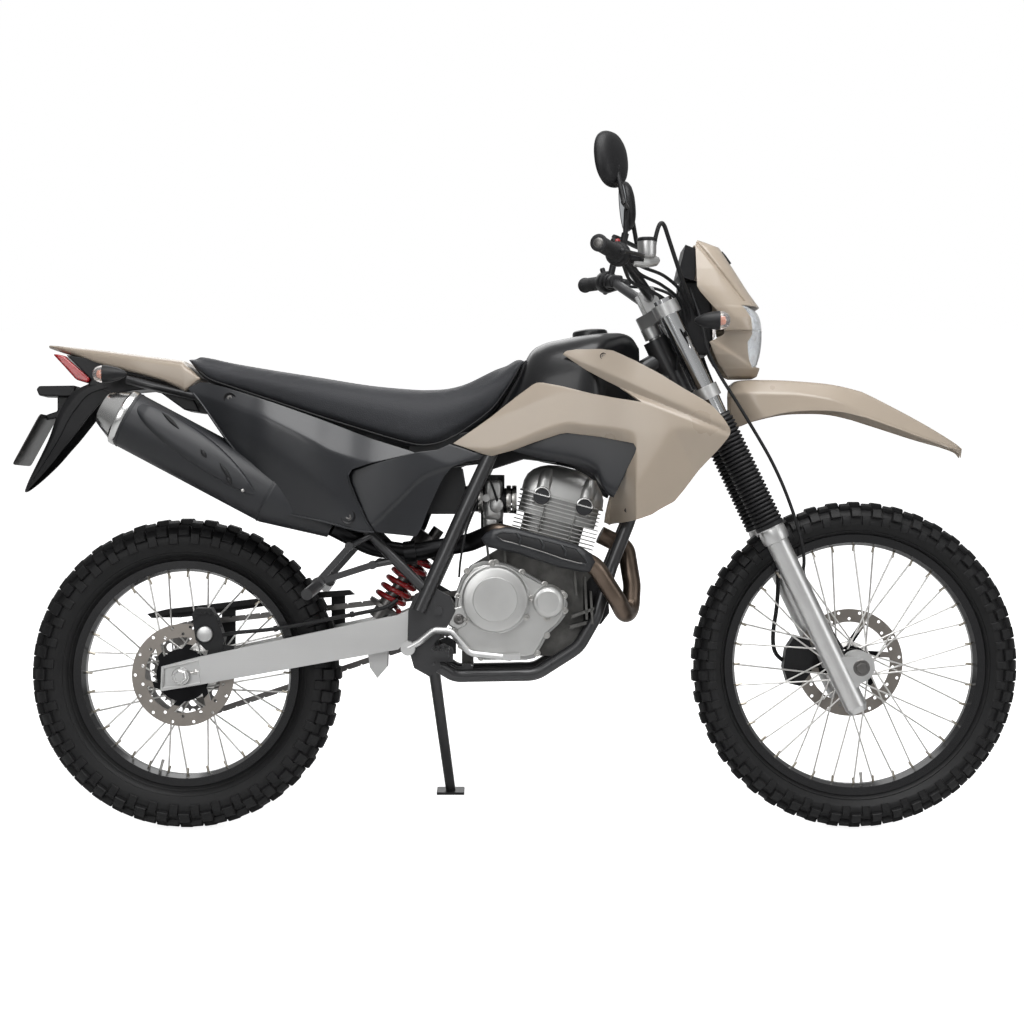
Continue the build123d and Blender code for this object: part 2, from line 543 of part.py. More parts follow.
# ---------------------------------------------------------------- frame and swingarm
def main_frame():
    """The steel frame with its pivot plates, seat rails and engine mounts."""
    middle = [
        rod(steer(HEAD_LOW), steer(HEAD_HIGH), HEAD_TUBE_R),
        tube([(1008, 0, 999), (850, 0, 905), (690, 0, 842), (648, 0, 806)], BACKBONE_R, [150, 50]),
        prism([(1004, 1024), (1030, 948), (985, 905), (880, 900), (880, 925), (985, 1000)], -9, 9),
        across(PIVOT_X, PIVOT_Z, AXLE_R, -PLATE_OUT - 8, PLATE_OUT + 8),
        across(600, 346, 12, -92, 92),
        across(852, 440, 7, -84, 84),
        across(540, 652, 10, -116, 116),
        across(650, 797, 12, -112, 112),
        across(60, 915, 9, -75, 75),
    ]
    right = [
        tube([(1020, -16, 968), (945, -40, 660), (905, -50, 560), (872, -70, 455), (835, -85, 392),
              (745, -92, 335), (575, -92, 332), (527, -108, 362)], TUBE_R,
             [200, 120, 60, 60, 60, 40]),
        tube([(652, -112, 802), (600, -122, 690), (500, -124, 470)], UPRIGHT_R, [120]),
        tube([(652, -108, 796), (560, -84, 784), (500, -75, 788), (60, -75, 915), (-120, -62, 958)],
             RAIL_R, [50, 60, 80]),
        tube([(508, -122, 518), (398, -116, 630), (190, -80, 872)], RAIL_R, [80]),
        prism([(492, 505), (530, 520), (565, 500), (577, 470), (562, 440), (532, 400), (547, 350),
               (522, 332), (490, 350), (476, 400), (478, 470)], -PLATE_OUT, -PLATE_IN),
    ]
    frame = fused(*middle, *both(*right))
    pin_foot, pin_way = Vector(*STAND_PIVOT), Vector(*STAND_AXIS).normalized()
    stand_mount = [block(500, 540, 96, PLATE_IN, 330, 352),
                   rod(pin_foot - pin_way * 18, pin_foot + pin_way * (STAND_EYE_OUT + 3), STAND_PIN_R),
                   rod(pin_foot + pin_way * (STAND_EYE_OUT + 0.5), pin_foot + pin_way * (STAND_EYE_OUT + 5),
                       STAND_HEAD_R)]
    frame = fused(frame, *stand_mount)
    return only(frame.cut(rod(steer(HEAD_LOW - 5), steer(HEAD_HIGH + 5), HEAD_BORE_R)))


def swingarm():
    """The rear fork of the frame with the rear axle in its open ends."""
    arm = prism(about_axle([(40, -18), (-43, -32), (-41, 20), (40, 41)])
                + [(456, 461), (520, 490), (520, 450), (456, 388)], -ARM_OUT, -ARM_IN)
    boss = across(PIVOT_X, PIVOT_Z, 28, -PLATE_IN, -ARM_IN)
    right = fused(arm, boss)
    recess = prism(about_axle([(-37, -24), (-36, 15), (34, 31), (34, -14)]), -ARM_OUT - 1, -ARM_OUT + 6)
    right = only(right.cut(recess))
    axle = across(0, REAR_TYRE_R, AXLE_R, -124, 124)
    nut = across(0, REAR_TYRE_R, 16, -ARM_OUT - 8, -ARM_OUT + 6)
    spacers = [across(0, REAR_TYRE_R, 14, -ARM_IN - 1, REAR_DISC_Y - DISC_T / 2 - 1),
               across(0, REAR_TYRE_R, 14, CHAIN_Y + SPROCKET_T / 2 + 1, ARM_IN + 1)]
    bridge = prism([(362, 384), (440, 400), (440, 444), (362, 432)], -ARM_IN, ARM_IN)
    pivot = across(PIVOT_X, PIVOT_Z, 18, -ARM_IN - 1, ARM_IN + 1)
    lug = prism([(385, 395), (430, 400), (428, 345), (408, 322), (392, 345)], -34, 34)
    arms = fused(*both(right, nut), axle, *spacers, bridge, pivot, lug)
    slot = prism([(370, 330), (445, 330), (445, 375), (380, 375)], -20, 20)
    return only(arms.cut(across(PIVOT_X, PIVOT_Z, AXLE_R, -150, 150), slot))


# ---------------------------------------------------------------- engine
def tilted(points, y0, y1):
    """A prism drawn in the cylinder's own frame: ahead of its axis and up from the crankcase."""
    shape = prism(points, y0, y1)
    return shape.moved(Location((742, 0, 520), (0, CYLINDER_TILT, 0)))


def crankcase():
    outline = [(578, 400), (602, 372), (800, 372), (846, 400), (846, 520), (866, 545), (840, 572),
               (690, 612), (604, 560), (578, 500)]
    core = prism(outline, -CASE_HALF, CASE_HALF)
    lug = block(838, 866, -42, 42, 422, 458)
    foot = block(588, 612, -30, 30, 350, 380)
    shaft = across(DRIVE_X, DRIVE_Z, 12, CASE_HALF, CHAIN_Y + 12)
    sprocket = across(DRIVE_X, DRIVE_Z, DRIVE_R, CHAIN_Y - 3, CHAIN_Y + 3)
    return fused(core, lug, foot, shaft, sprocket)


def cylinder():
    """The cylinder and its head, finned, leaning forward."""
    pieces = [tilted([(-62, 70), (72, 70), (72, 262), (-62, 262)], -62, 62)]
    for k in range(10):
        z = 80 + k * 10.5
        reach = 84 if k < 6 else 92
        pieces.append(tilted([(-reach, z), (reach + 8, z), (reach + 8, z + 4), (-reach, z + 4)], -80, 80))
    pieces.append(tilted([(-70, 186), (82, 186), (82, 236), (60, 262), (-50, 262), (-70, 240)], -78, 78))
    return fused(*pieces)


def engine_covers():
    """The outer covers on both sides, with the bare clutch cover on the right."""
    right = [
        prism([(580, 430), (600, 392), (640, 372), (760, 374), (800, 400), (812, 440), (806, 500),
               (780, 530), (700, 560), (620, 556), (584, 510)], -112, -CASE_HALF),
        rod((657, -112, 490), (657, -146, 490), 72, 68),
        across(657, 490, 50, -150, -146),
        rod((767, -112, 485), (767, -136, 485), 37, 34),
    ]
    left = [
        prism([(652, 400), (700, 374), (770, 376), (806, 410), (812, 470), (790, 525), (720, 552),
               (660, 540)], CASE_HALF, 108),
        rod((720, 108, 470), (720, 132, 470), 70, 64),
        prism([(576, 430), (600, 412), (660, 415), (660, 525), (600, 520), (576, 500)], 88, 102),
    ]
    return group(fused(*right), fused(*left))


def exhaust():
    """The header, which loops under the port and runs back inside the frame's upright."""
    front = tube([(884, 0, 628), (940, 6, 600), (952, -14, 520), (946, -40, 436), (916, -98, 492),
                  (868, -122, 566), (760, -130, 606), (700, -130, 626), (662, -128, 636),
                  (606, -78, 612), (480, -78, 590), (400, -84, 602), (318, -124, 646)],
                 PIPE_R, [26, 80, 34, 26, 44, 90, 90, 28, 28, 120, 90])
    clamp_ring = rod((492, -78, 592), (468, -78, 589), PIPE_R + 6)
    return fused(front, clamp_ring)


def silencer_axis(distance):
    """A point on the silencer's axis by its distance forward of its rear joint."""
    slope = radians(SILENCER_SLOPE)
    return Vector(-114 + distance * cos(slope), SILENCER_Y, 873.5 - distance * sin(slope))


def silencer():
    body = fused(rod(silencer_axis(0), silencer_axis(350), SILENCER_R),
                 rod(silencer_axis(350), silencer_axis(490), SILENCER_R, 22))
    tip = fused(rod(silencer_axis(0), silencer_axis(-48), SILENCER_R - 2, 34))
    outlet = rod(silencer_axis(-60), silencer_axis(40), 20)
    return only(body.cut(outlet)), only(tip.cut(outlet))


def heat_shield():
    outline = [(636, 610), (650, 664), (700, 652), (780, 628), (868, 590), (886, 566), (880, 540),
               (850, 548), (770, 582), (690, 606)]
    slots = [prism([(x, z), (x + 34, z - 12), (x + 36, z - 5), (x + 2, z + 7)], -170, -140)
             for x, z in ((680, 634), (738, 615), (796, 592))]
    plate = panel(outline, [(620, 158), (700, 158), (820, 157), (890, 146)], 3)
    stays = [rod((700, -153, 626), (700, -156.5, 626), 8), rod((800, -149, 592), (800, -156, 592), 8)]
    return fused(only(plate.cut(*slots)), *stays)


# ---------------------------------------------------------------- bodywork
TANK_SIDE = [(729, 1016), (747, 1030), (804, 1045), (856, 1055), (934, 1060), (954, 1048), (970, 1022),
             (972, 990), (955, 930), (900, 850), (830, 812), (740, 806), (690, 812), (650, 830),
             (640, 862), (672, 892), (705, 958), (733, 1000)]
TANK_WIDTHS = [(640, 70), (700, 100), (760, 130), (850, 142), (890, 124), (915, 84), (940, 54), (973, 30)]
TANK_HEIGHTS = [(805, 112), (850, 142), (960, 142), (1020, 118), (1050, 88), (1061, 58)]
SEAT_SIDE = [(3, 1009), (50, 1004), (84, 995), (187, 978), (290, 962), (392, 946), (505, 937), (550, 939),
             (597, 951), (649, 977), (700, 1011), (712, 1013), (722, 1008), (720, 1000), (700, 960),
             (680, 925), (650, 885), (600, 845), (560, 820), (520, 808), (500, 806), (480, 810),
             (400, 836), (300, 868), (200, 903), (100, 938), (50, 955), (35, 968), (20, 990)]
SEAT_WIDTHS = [(2, 88), (30, 98), (100, 104), (300, 125), (500, 116), (600, 95), (700, 74), (723, 64)]
SEAT_HEIGHTS = [(805, 128), (940, 128), (980, 120), (1000, 112), (1014, 104)]
SHROUD_SIDE = [(572, 820), (738, 940), (757, 946), (960, 902), (801, 1005), (803, 1010), (828, 1016),
               (905, 1012), (1000, 965), (1090, 905), (1128, 872), (1145, 840), (1115, 800), (1080, 765),
               (1035, 705), (1000, 682), (960, 668), (895, 650), (894, 660), (905, 705), (952, 810),
               (940, 822), (880, 830), (810, 841), (700, 808), (650, 793)]
SHROUD_WALL = [(560, 122), (660, 140), (750, 152), (850, 166), (950, 200), (1050, 215), (1150, 202)]
INSERT_SIDE = [(690, 800), (760, 785), (830, 772), (868, 752), (893, 712), (906, 706), (955, 812),
               (945, 825), (880, 840), (810, 850), (700, 815)]
INSERT_WALL = [(680, 118), (760, 136), (850, 150), (960, 176)]
SIDE_COVER = [(500, 801), (540, 806), (565, 818), (640, 792), (600, 782), (560, 768), (555, 750),
              (545, 735), (520, 680), (505, 640), (495, 625), (470, 628), (430, 632), (412, 636),
              (396, 660), (376, 705), (361, 745), (366, 762), (400, 774)]
SIDE_COVER_WALL = [(350, 160), (500, 158), (650, 146)]
REAR_PANEL = [(18, 935), (45, 948), (60, 946), (100, 935), (200, 903), (300, 868), (400, 830), (480, 804),
              (495, 801), (400, 775), (366, 763), (359, 755), (358, 745), (374, 705), (394, 660),
              (410, 635), (380, 637), (350, 645), (300, 658), (250, 668), (225, 674), (200, 695),
              (150, 765), (100, 830), (50, 900), (30, 925)]
REAR_PANEL_WALL = [(10, 126), (100, 170), (200, 204), (350, 196), (420, 168), (500, 160)]
TAIL_SIDE = [(-297, 1033), (-290, 1034), (-200, 1024), (-100, 1011), (-2, 998), (8, 985), (20, 968),
             (30, 957), (18, 947), (5, 934), (-50, 955), (-100, 972), (-170, 992), (-250, 1012)]
TAIL_WIDTHS = [(-298, 26), (-200, 64), (-100, 84), (32, 96)]
TAIL_HEIGHTS = [(932, 98), (990, 98), (1010, 84), (1035, 40)]
GUARD_SIDE = [(35, 885), (5, 930), (-50, 951), (-100, 968), (-170, 988), (-262, 1007), (-199, 958),
              (-203, 951), (-250, 925), (-285, 885), (-300, 850), (-330, 765), (-350, 722),
              (-345, 716), (-330, 722), (-300, 757), (-250, 820), (-200, 880), (-150, 922),
              (-110, 933), (-75, 936), (-50, 928), (0, 892)]
GUARD_WIDTHS = [(-352, 55), (-250, 62), (-100, 70), (36, 60)]


def tank():
    body = three_view(TANK_SIDE, TANK_WIDTHS, TANK_HEIGHTS)
    tunnel = prism([(600, 700), (1010, 700), (1010, 1020), (985, 1012), (850, 932), (690, 870),
                    (600, 870)], -27, 27)
    return only(body.cut(tunnel))


def seat(fuel_tank):
    return only(three_view(SEAT_SIDE, SEAT_WIDTHS, SEAT_HEIGHTS).cut(fuel_tank))


def mudguard(frame, tail):
    """The rear mudguard under the tail, open below, with the bare plate it carries."""
    heights = [(700, 80), (1010, 80)]
    outer = three_view(GUARD_SIDE, GUARD_WIDTHS, heights)
    hollow = [(30, 878), (1, 923), (-52, 945), (-102, 962), (-172, 981), (-185, 984), (-196, 950),
              (-245, 920), (-279, 882), (-294, 849), (-324, 766), (-343, 722), (-343, 690), (60, 690),
              (60, 878)]
    narrow = [(x, w - 5) for x, w in GUARD_WIDTHS]
    inner = three_view(hollow, narrow[:-1] + [(61, 55)], [(689, 80), (1010, 80)])
    guard = only(outer - inner)
    holder = block(-312, -215, -40, 40, 923, 945)
    plate = bar(PLATE_TOP, PLATE_FOOT, PLATE_T, 170)
    arm = bar((-308, 0, 874), (-280, 0, 866), 34, 60)
    holes = []
    for y in (-PLATE_BOLT_Y, PLATE_BOLT_Y):
        centre, out = plate_bolt(y)
        holes.append(rod(centre - out * PLATE_T, centre + out * PLATE_T, PLATE_BOLT_R))
    return only(fused(guard, holder, plate, arm).cut(*holes))


def plate_bolt(y):
    """The middle of a bolt hole in the plate and the direction in which its bolt comes out."""
    top, foot = Vector(*PLATE_TOP), Vector(*PLATE_FOOT)
    across_plate = Vector(0, 1, 0).cross(foot - top).normalized()
    return top + (foot - top) * 0.3 + Vector(0, y, 0), across_plate


def tail_lamp(guard, tail):
    outline = [(-278, 1010), (-264, 1008), (-201, 962), (-204, 953), (-232, 957), (-262, 988)]
    return only(prism(outline, -46, 46).cut(guard, tail))


def rear_signals(tail, guard):
    body = rod((-182, -135, 966), (-120, -135, 968), 20, 16)
    stem = rod((-150, -50, 966), (-150, -130, 967), 8)
    return group(*[only(s.cut(guard, tail)) for s in both(fused(body, stem))])


# ---------------------------------------------------------------- smaller pieces
def shock():
    low, high = Vector(404, 0, 448), Vector(538, 0, 640)
    way = (high - low).normalized()
    body = [rod(low, low + way * 60, 17), rod(low + way * 40, high, 13),
            rod(high - way * 62, high - way * 22, 36), rod(low + way * 26, low + way * 34, 36)]
    coils, wire = 6.5, 5.5
    height = (high - low).length - 62 - 34 - 2 * wire
    path = Edge.make_helix(height / coils, height, 30)
    at = Plane(origin=low + way * (34 + wire), z_dir=way)
    coil = sweep(Plane(origin=path @ 0, z_dir=path % 0) * Circle(wire), path=path)
    return fused(*body), only(coil.moved(at.location))


def airbox_and_carburettor(frame):
    box = prism([(432, 700), (440, 650), (470, 672), (590, 672), (600, 700), (588, 770), (440, 776)], -92, 92)
    throat = rod((580, 0, 706), (704, 0, 700), 27)
    bowl = rod((652, 0, 640), (652, 0, 700), 24)
    top = rod((652, 0, 700), (652, 0, 756), 27)
    return only(fused(box, throat, bowl, top).cut(frame))


def rear_caliper(arm):
    low = REAR_DISC_Y - DISC_T / 2 - CALIPER_GAP
    high = REAR_DISC_Y + DISC_T / 2 + CALIPER_GAP
    outline = about_axle([(22, 130), (30, 142), (62, 142), (76, 120), (90, 78), (86, 56), (52, 54),
                          (30, 76)])
    swept = across(0, REAR_TYRE_R, REAR_DISC_R + CALIPER_GAP, low, high)
    hub_space = across(0, REAR_TYRE_R, 60, -80, -40)
    body = fused(prism(outline, -100, high + 10), across(50, REAR_TYRE_R + 88, 17, -104, -100))
    bracket = prism(about_axle([(52, 38), (110, 40), (110, 63), (60, 68)]), -96, -90)
    return only(only(fused(only(body - swept - hub_space), bracket)).cut(arm))


def chain():
    """The chain as one closed band, its outside notched between the pairs of links."""
    length, at = belt((0.0, REAR_TYRE_R), SPROCKET_R + CHAIN_GAP, (DRIVE_X, DRIVE_Z), DRIVE_R + DRIVE_GAP)
    pairs = round(length / (2 * CHAIN_PITCH))
    step = length / pairs
    notched = ((0.08, CHAIN_H), (0.92, CHAIN_H), (1.0, CHAIN_H - 4))        # share of a pair, height
    outside = [at((k + share) * step % length, height) for k in range(pairs) for share, height in notched]
    inside = [at(k * step / 2) for k in range(2 * pairs)]
    y0, y1 = CHAIN_Y - CHAIN_W / 2, CHAIN_Y + CHAIN_W / 2
    return only(prism(outside, y0, y1) - prism(inside, y0 - 1, y1 + 1))


def chain_guard(arm):
    blade = prism(above_chain([(-100, 27), (-60, 32), (60, 32), (240, 33), (340, 28), (352, 17),
                               (240, 17), (60, 10), (-30, 10), (-90, 17)]), 66, 96)
    hollow = prism(above_chain([(-120, 5), (-50, 22), (60, 20), (240, 21), (360, 13), (360, -40)]), 60, 88)
    stay = [prism(about_axle([(60, 40), (90, 46)]) + above_chain([(90, 22), (60, 20)]), 90, 96),
            prism([(300, 424), (330, 430)] + above_chain([(330, 24), (300, 24)]), 90, 96)]
    return only(fused(only(blade - hollow), *stay).cut(arm))


def foot_controls(frame, covers):
    """The brake pedal on the right and the gear lever on the left."""
    pedal = tube([(478, -134, 392), (500, -134, 404), (532, -134, 430), (568, -134, 428),
                  (608, -136, 382), (690, -150, 374)], 7, [14, 22, 22, 24])
    pad = block(676, 712, -178, -138, 370, 382)
    pivot = across(478, 392, 15, -140, -PLATE_OUT)
    lever = rod((600, 118, 396), (712, 130, 386), 6)
    toe = rod((712, 122, 386), (712, 166, 386), 9)
    shaft = across(600, 396, 11, 100, 124)
    return group(fused(pedal, pad, pivot), only(fused(lever, toe, shaft).cut(covers)))


def footpegs(frame):
    """The rider's pegs and, behind them, the folding ones for a passenger."""
    bracket = prism([(534, 364), (572, 364), (572, 392), (552, 402), (534, 394)], -132, -PLATE_OUT)
    peg = block(530, 566, -214, -126, 378, 392)
    teeth = [block(530 + k * 11, 534 + k * 11, -212, -140, 392, 396) for k in range(4)]
    hanger = [bar((356, -140, 604), (288, -140, 528), 13, 10), bar((404, -140, 566), (292, -140, 530), 13, 10),
              rod((292, -122, 528), (292, -162, 528), 13), rod((292, -150, 524), (276, -232, 508), 12),
              rod((356, -150, 605), (356, -134, 605), 9), rod((404, -150, 566), (404, -112, 566), 9),
              rod((356, -137, 605), (400, -125, 627), 6), rod((404, -118, 566), (452, -119, 575), 7)]
    return group(*[only(s.cut(frame)) for s in both(fused(bracket, peg, *teeth), fused(*hanger))])


def side_stand():
    """The leg that the motorcycle leans on, with its foot flat on the ground when it is down."""
    top, axis = Vector(*STAND_PIVOT), Vector(*STAND_AXIS).normalized()
    ground = Plane(origin=(STAND_FOOT_X, STAND_FOOT_Y, STAND_FOOT_Y * tan(radians(LEAN)) - GROUND_DROP),
                   x_dir=(1, 0, 0), z_dir=(0, -sin(radians(LEAN)), cos(radians(LEAN))))
    pad = Solid.make_box(62, 46, 6, ground).moved(Location(ground.x_dir * -31 - ground.y_dir * 23))
    foot = ground.origin + ground.z_dir * 5
    eye = rod(top + axis * STAND_EYE_IN, top + axis * STAND_EYE_OUT, 17)
    leg = rod(top + axis * (STAND_EYE_IN + STAND_R), foot, STAND_R, STAND_R - 2)
    bore = rod(top, top + axis * (STAND_EYE_OUT + 20), STAND_PIN_R + AXLE_FIT)
    head_space = rod(top + axis * STAND_EYE_OUT, top + axis * (STAND_EYE_OUT + 20), STAND_HEAD_R + 1.5)
    return only(fused(eye, leg, pad).cut(bore, head_space))


def build():
    """Every piece by its name, upright in the bike frame."""
    frame = main_frame()
    arm = swingarm()
    fuel_tank = tank()
    covers = engine_covers()
    case = only(crankcase().cut(frame))
    barrel = only(cylinder().cut(case, frame))
    saddle = seat(fuel_tank)
    tail = only(three_view(TAIL_SIDE, TAIL_WIDTHS, TAIL_HEIGHTS).cut(saddle, frame))
    guard = only(mudguard(frame, tail).cut(frame, tail))
    pipe = only(exhaust().cut(barrel))
    can, can_tip = silencer()
    can = only(can.cut(pipe, frame))
    damper, coil = shock()
    steered = steering()
    stays = {
        "shroud": [rod((885, -120, 985), (885, -174, 985), 9), rod((780, -120, 880), (780, -156, 880), 9)],
        "insert": [rod((820, -110, 822), (820, -145, 822), 8)],
        "cover": [rod((560, -110, 775), (560, -154, 775), 8), rod((545, -110, 738), (545, -155, 738), 8)],
        "rear": [rod((107, -70, 915), (107, -168, 915), 8), rod((355, -100, 668), (355, -192, 668), 8)],
    }
    shroud = fused(panel(SHROUD_SIDE, SHROUD_WALL), *stays["shroud"])
    insert = fused(panel(INSERT_SIDE, INSERT_WALL), *stays["insert"])
    cover = fused(panel(SIDE_COVER, SIDE_COVER_WALL), *stays["cover"])
    rear_panel = fused(panel(REAR_PANEL, REAR_PANEL_WALL), *stays["rear"])
    parts = {
        "main_frame": frame,
        "swingarm": only(arm.cut(frame)),
        "crankcase": case,
        "cylinder": barrel,
        "engine_covers": covers,
        "exhaust_pipe": pipe,
        "silencer": can,
        "silencer_cap": can_tip,
        "exhaust_shield": only(heat_shield().cut(pipe)),
        "intake": airbox_and_carburettor(frame).cut(barrel),
        "fuel_tank": fuel_tank,
        "tank_cap": fused(rod((865, 0, 1050), (865, 0, 1070), 38)).cut(fuel_tank),
        "tank_side_panels": group(*[only(s.cut(fuel_tank, frame)) for s in both(insert)]),
        "shrouds": group(*[only(s.cut(fuel_tank, frame)) for s in both(shroud)]),
        "seat": saddle,
        "side_covers": group(*[only(s.cut(frame)) for s in both(cover)]),
        "rear_panels": group(*[only(s.cut(frame, saddle)) for s in both(rear_panel)]),
        "tail_cowl": tail,
        "rear_mudguard": guard,
        "tail_lamp": tail_lamp(guard, tail),
        "rear_signals": rear_signals(tail, guard),
        "rear_shock": only(damper.cut(arm, frame)),
        "shock_spring": coil,
        "chain": chain(),
        "chain_guard": chain_guard(arm),
        "rear_caliper": rear_caliper(arm),
        "foot_controls": foot_controls(frame, covers),
        "footpegs": footpegs(frame),
        "side_stand": only(side_stand().cut(frame)),
    }
    return {**parts, **steered, **front_wheel(), **rear_wheel()}


def place(parts):
    """Leans the upright pieces onto the stand and puts the origin under the middle."""
    lean = Location((0, 0, GROUND_DROP * cos(radians(LEAN))), (-LEAN, 0, 0))
    leaned = {name: shape.moved(lean) for name, shape in parts.items()}
    box = Compound(children=[s for shape in leaned.values() for s in shape.solids()]).bounding_box()
    middle = Location((-box.center().X, -box.center().Y, -box.min.Z))
    return {name: shape.moved(middle) for name, shape in leaned.items()}, middle * lean


def main():
    os.makedirs("parts", exist_ok=True)
    placed, _ = place(build())
    for name, shape in placed.items():
        export_step(shape, f"parts/{name}.step")
        print(name, len(shape.solids()), round(shape.volume / 1000, 1), "cm3")


if __name__ == "__main__":
    main()
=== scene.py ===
# %% [markdown]
# # A dual sport motorcycle, dressed for its portrait
# This lesson keeps the solids whose shape is already right and gives them real finishes. The
# swept panels, the knobbly tyres, the padded seat and the small parts are made anew, as
# surfaces worked out with numpy, because no box or cylinder can stand in for them.

# %% The frame
import json
import bpy
import bmesh
import numpy as np
from mathutils import Matrix


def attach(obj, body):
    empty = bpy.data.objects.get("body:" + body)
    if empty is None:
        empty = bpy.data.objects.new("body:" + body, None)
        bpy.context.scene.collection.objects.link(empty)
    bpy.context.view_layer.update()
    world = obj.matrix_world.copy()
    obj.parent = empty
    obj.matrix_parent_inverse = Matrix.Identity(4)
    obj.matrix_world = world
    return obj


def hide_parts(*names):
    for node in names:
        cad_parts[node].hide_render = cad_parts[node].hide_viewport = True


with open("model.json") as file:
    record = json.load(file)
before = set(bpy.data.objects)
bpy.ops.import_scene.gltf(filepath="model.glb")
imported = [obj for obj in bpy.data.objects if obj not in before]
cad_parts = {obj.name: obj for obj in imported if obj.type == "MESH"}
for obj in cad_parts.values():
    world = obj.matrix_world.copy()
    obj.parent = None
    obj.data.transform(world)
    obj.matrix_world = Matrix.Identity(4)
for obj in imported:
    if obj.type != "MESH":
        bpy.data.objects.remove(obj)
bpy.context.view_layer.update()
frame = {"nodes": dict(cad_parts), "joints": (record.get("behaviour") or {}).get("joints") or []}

# %% [markdown]
# ## The bike frame
# A motorcycle is measured upright: x ahead from the rear axle, y to the rider's left, z up from
# the ground. Parked, it leans. Each point is therefore drawn upright, in millimetres, and then
# carried into the leaning frame, so that no piece has to be leaned by hand. The rear wheel's
# joint gives that frame: its axis is the leaning y, and its place is the rear axle.

# %% From upright millimetres to the leaning frame
joints = {joint["name"]: joint for joint in frame["joints"]}
AXLE = np.array(joints["rear_wheel_spin"]["pos_m"])
LEFT = np.array(joints["rear_wheel_spin"]["axis"])
AHEAD = np.array([1.0, 0.0, 0.0])
ABOVE = np.cross(AHEAD, LEFT)
LEANING = np.stack([AHEAD, LEFT, ABOVE])
AXLE_HEIGHT = 332.0


def placed(points):
    """Metres in the row's frame of upright millimetres: axle + x AHEAD + y LEFT + (z - axle height) ABOVE."""
    return AXLE + (np.asarray(points, float) - [0.0, 0.0, AXLE_HEIGHT]) @ LEANING / 1000.0


def upright(point):
    """Upright millimetres of a point in metres: the same three directions, read the other way."""
    return (np.asarray(point) - AXLE) @ LEANING.T * 1000.0 + [0.0, 0.0, AXLE_HEIGHT]


HEAD = upright(joints["steering_turn"]["pos_m"])
STEM = LEANING @ np.array(joints["steering_turn"]["axis"])
FORWARD = np.array([STEM[2], 0.0, -STEM[0]])
FRONT_AXLE = upright(joints["front_wheel_spin"]["pos_m"])
REAR_AXLE = np.array([0.0, 0.0, AXLE_HEIGHT])
print("steering head", HEAD.round(1), "front axle", FRONT_AXLE.round(1))


def steer(up, forward=0.0, y=0.0):
    """A point by its distance up the steering stem from the head, forward of it and to the left."""
    return HEAD + up * STEM + forward * FORWARD + np.array([0.0, y, 0.0])


# %% [markdown]
# ## Camera, light and floor
# The lens looks square at the leaning side from 4.7 m, level with the middle of the frame, so
# wheels stay round. Broad lamps above, beside, ahead of and behind the motorcycle give the
# long quiet highlights that moulded plastic and satin alloy need. The room is white to the eye,
# but in a mirror it has pale walls before and behind and dark ends, so a polished tube shows a
# bright core between two dark lines. The floor is pale, and a little of its own light, seen only
# by the camera, brings it nearly to white.

# %% Camera
lens = bpy.data.cameras.new("portrait_lens")
camera = bpy.data.objects.new("portrait_camera", lens)
bpy.context.scene.collection.objects.link(camera)
stand_point = placed([695.0, -4700.0, 676.5])
columns = np.eye(4)
columns[:3, 0], columns[:3, 1], columns[:3, 2], columns[:3, 3] = AHEAD, ABOVE, -LEFT, stand_point
camera.matrix_world = Matrix(columns.tolist())
lens.sensor_width, lens.lens, lens.clip_end = 36.0, 36.0 * 4.7 / 2.1985, 60.0
bpy.context.scene.camera = camera
bpy.context.scene.view_settings.view_transform = "Standard"


# %% Lamps and world
def lamp(name, spot, aim, size, power):
    """A square area lamp at one point, turned to another."""
    light = bpy.data.lights.new(name, "AREA")
    light.size, light.energy = size, power
    stand = bpy.data.objects.new(name, light)
    bpy.context.scene.collection.objects.link(stand)
    away = np.array(spot, float) - aim
    away /= np.linalg.norm(away)
    side = np.cross([0.0, 0.03, 1.0], away)
    side /= np.linalg.norm(side)
    turn = np.eye(4)
    turn[:3, 0], turn[:3, 1], turn[:3, 2], turn[:3, 3] = side, np.cross(away, side), away, spot
    stand.matrix_world = Matrix(turn.tolist())


middle = np.array([0.0, 0.0, 0.7])
lamp("overhead_lamp", (0.3, -0.9, 3.5), middle, 2.6, 104.0)
lamp("side_lamp", (-1.6, -4.2, 2.6), middle, 2.2, 40.0)
lamp("front_lamp", (3.4, -2.2, 1.6), middle, 1.8, 20.0)
lamp("back_lamp", (-0.5, 3.6, 2.6), middle, 2.4, 30.0)

world = bpy.data.worlds.new("studio")
bpy.context.scene.world = world
world.use_nodes = True
sky = world.node_tree
sky.nodes.clear()
paths = sky.nodes.new("ShaderNodeLightPath")
seen = sky.nodes.new("ShaderNodeMath")
seen.operation = "MAXIMUM"
through = sky.nodes.new("ShaderNodeMath")
through.operation = "MAXIMUM"
strength = sky.nodes.new("ShaderNodeMapRange")
strength.inputs["To Min"].default_value = 0.13
strength.inputs["To Max"].default_value = 1.0
glow = sky.nodes.new("ShaderNodeBackground")
glow.inputs["Color"].default_value = (1.0, 1.0, 1.0, 1.0)
out = sky.nodes.new("ShaderNodeOutputWorld")
mirror_share = sky.nodes.new("ShaderNodeMath")
mirror_share.operation = "MULTIPLY"
heading = sky.nodes.new("ShaderNodeTexCoord")
parts_of = sky.nodes.new("ShaderNodeSeparateXYZ")
square, fourth, sides, total = (sky.nodes.new("ShaderNodeMath") for _ in range(4))
square.operation = fourth.operation = "MULTIPLY"
sides.operation = "MULTIPLY_ADD"
sides.inputs[1].default_value, sides.inputs[2].default_value = 0.34, 0.09
overhead = sky.nodes.new("ShaderNodeMapRange")
overhead.interpolation_type = "SMOOTHSTEP"
overhead.inputs["From Min"].default_value, overhead.inputs["From Max"].default_value = 0.15, 0.80
overhead.inputs["To Max"].default_value = 0.30
sky.links.new(heading.outputs["Generated"], parts_of.inputs["Vector"])
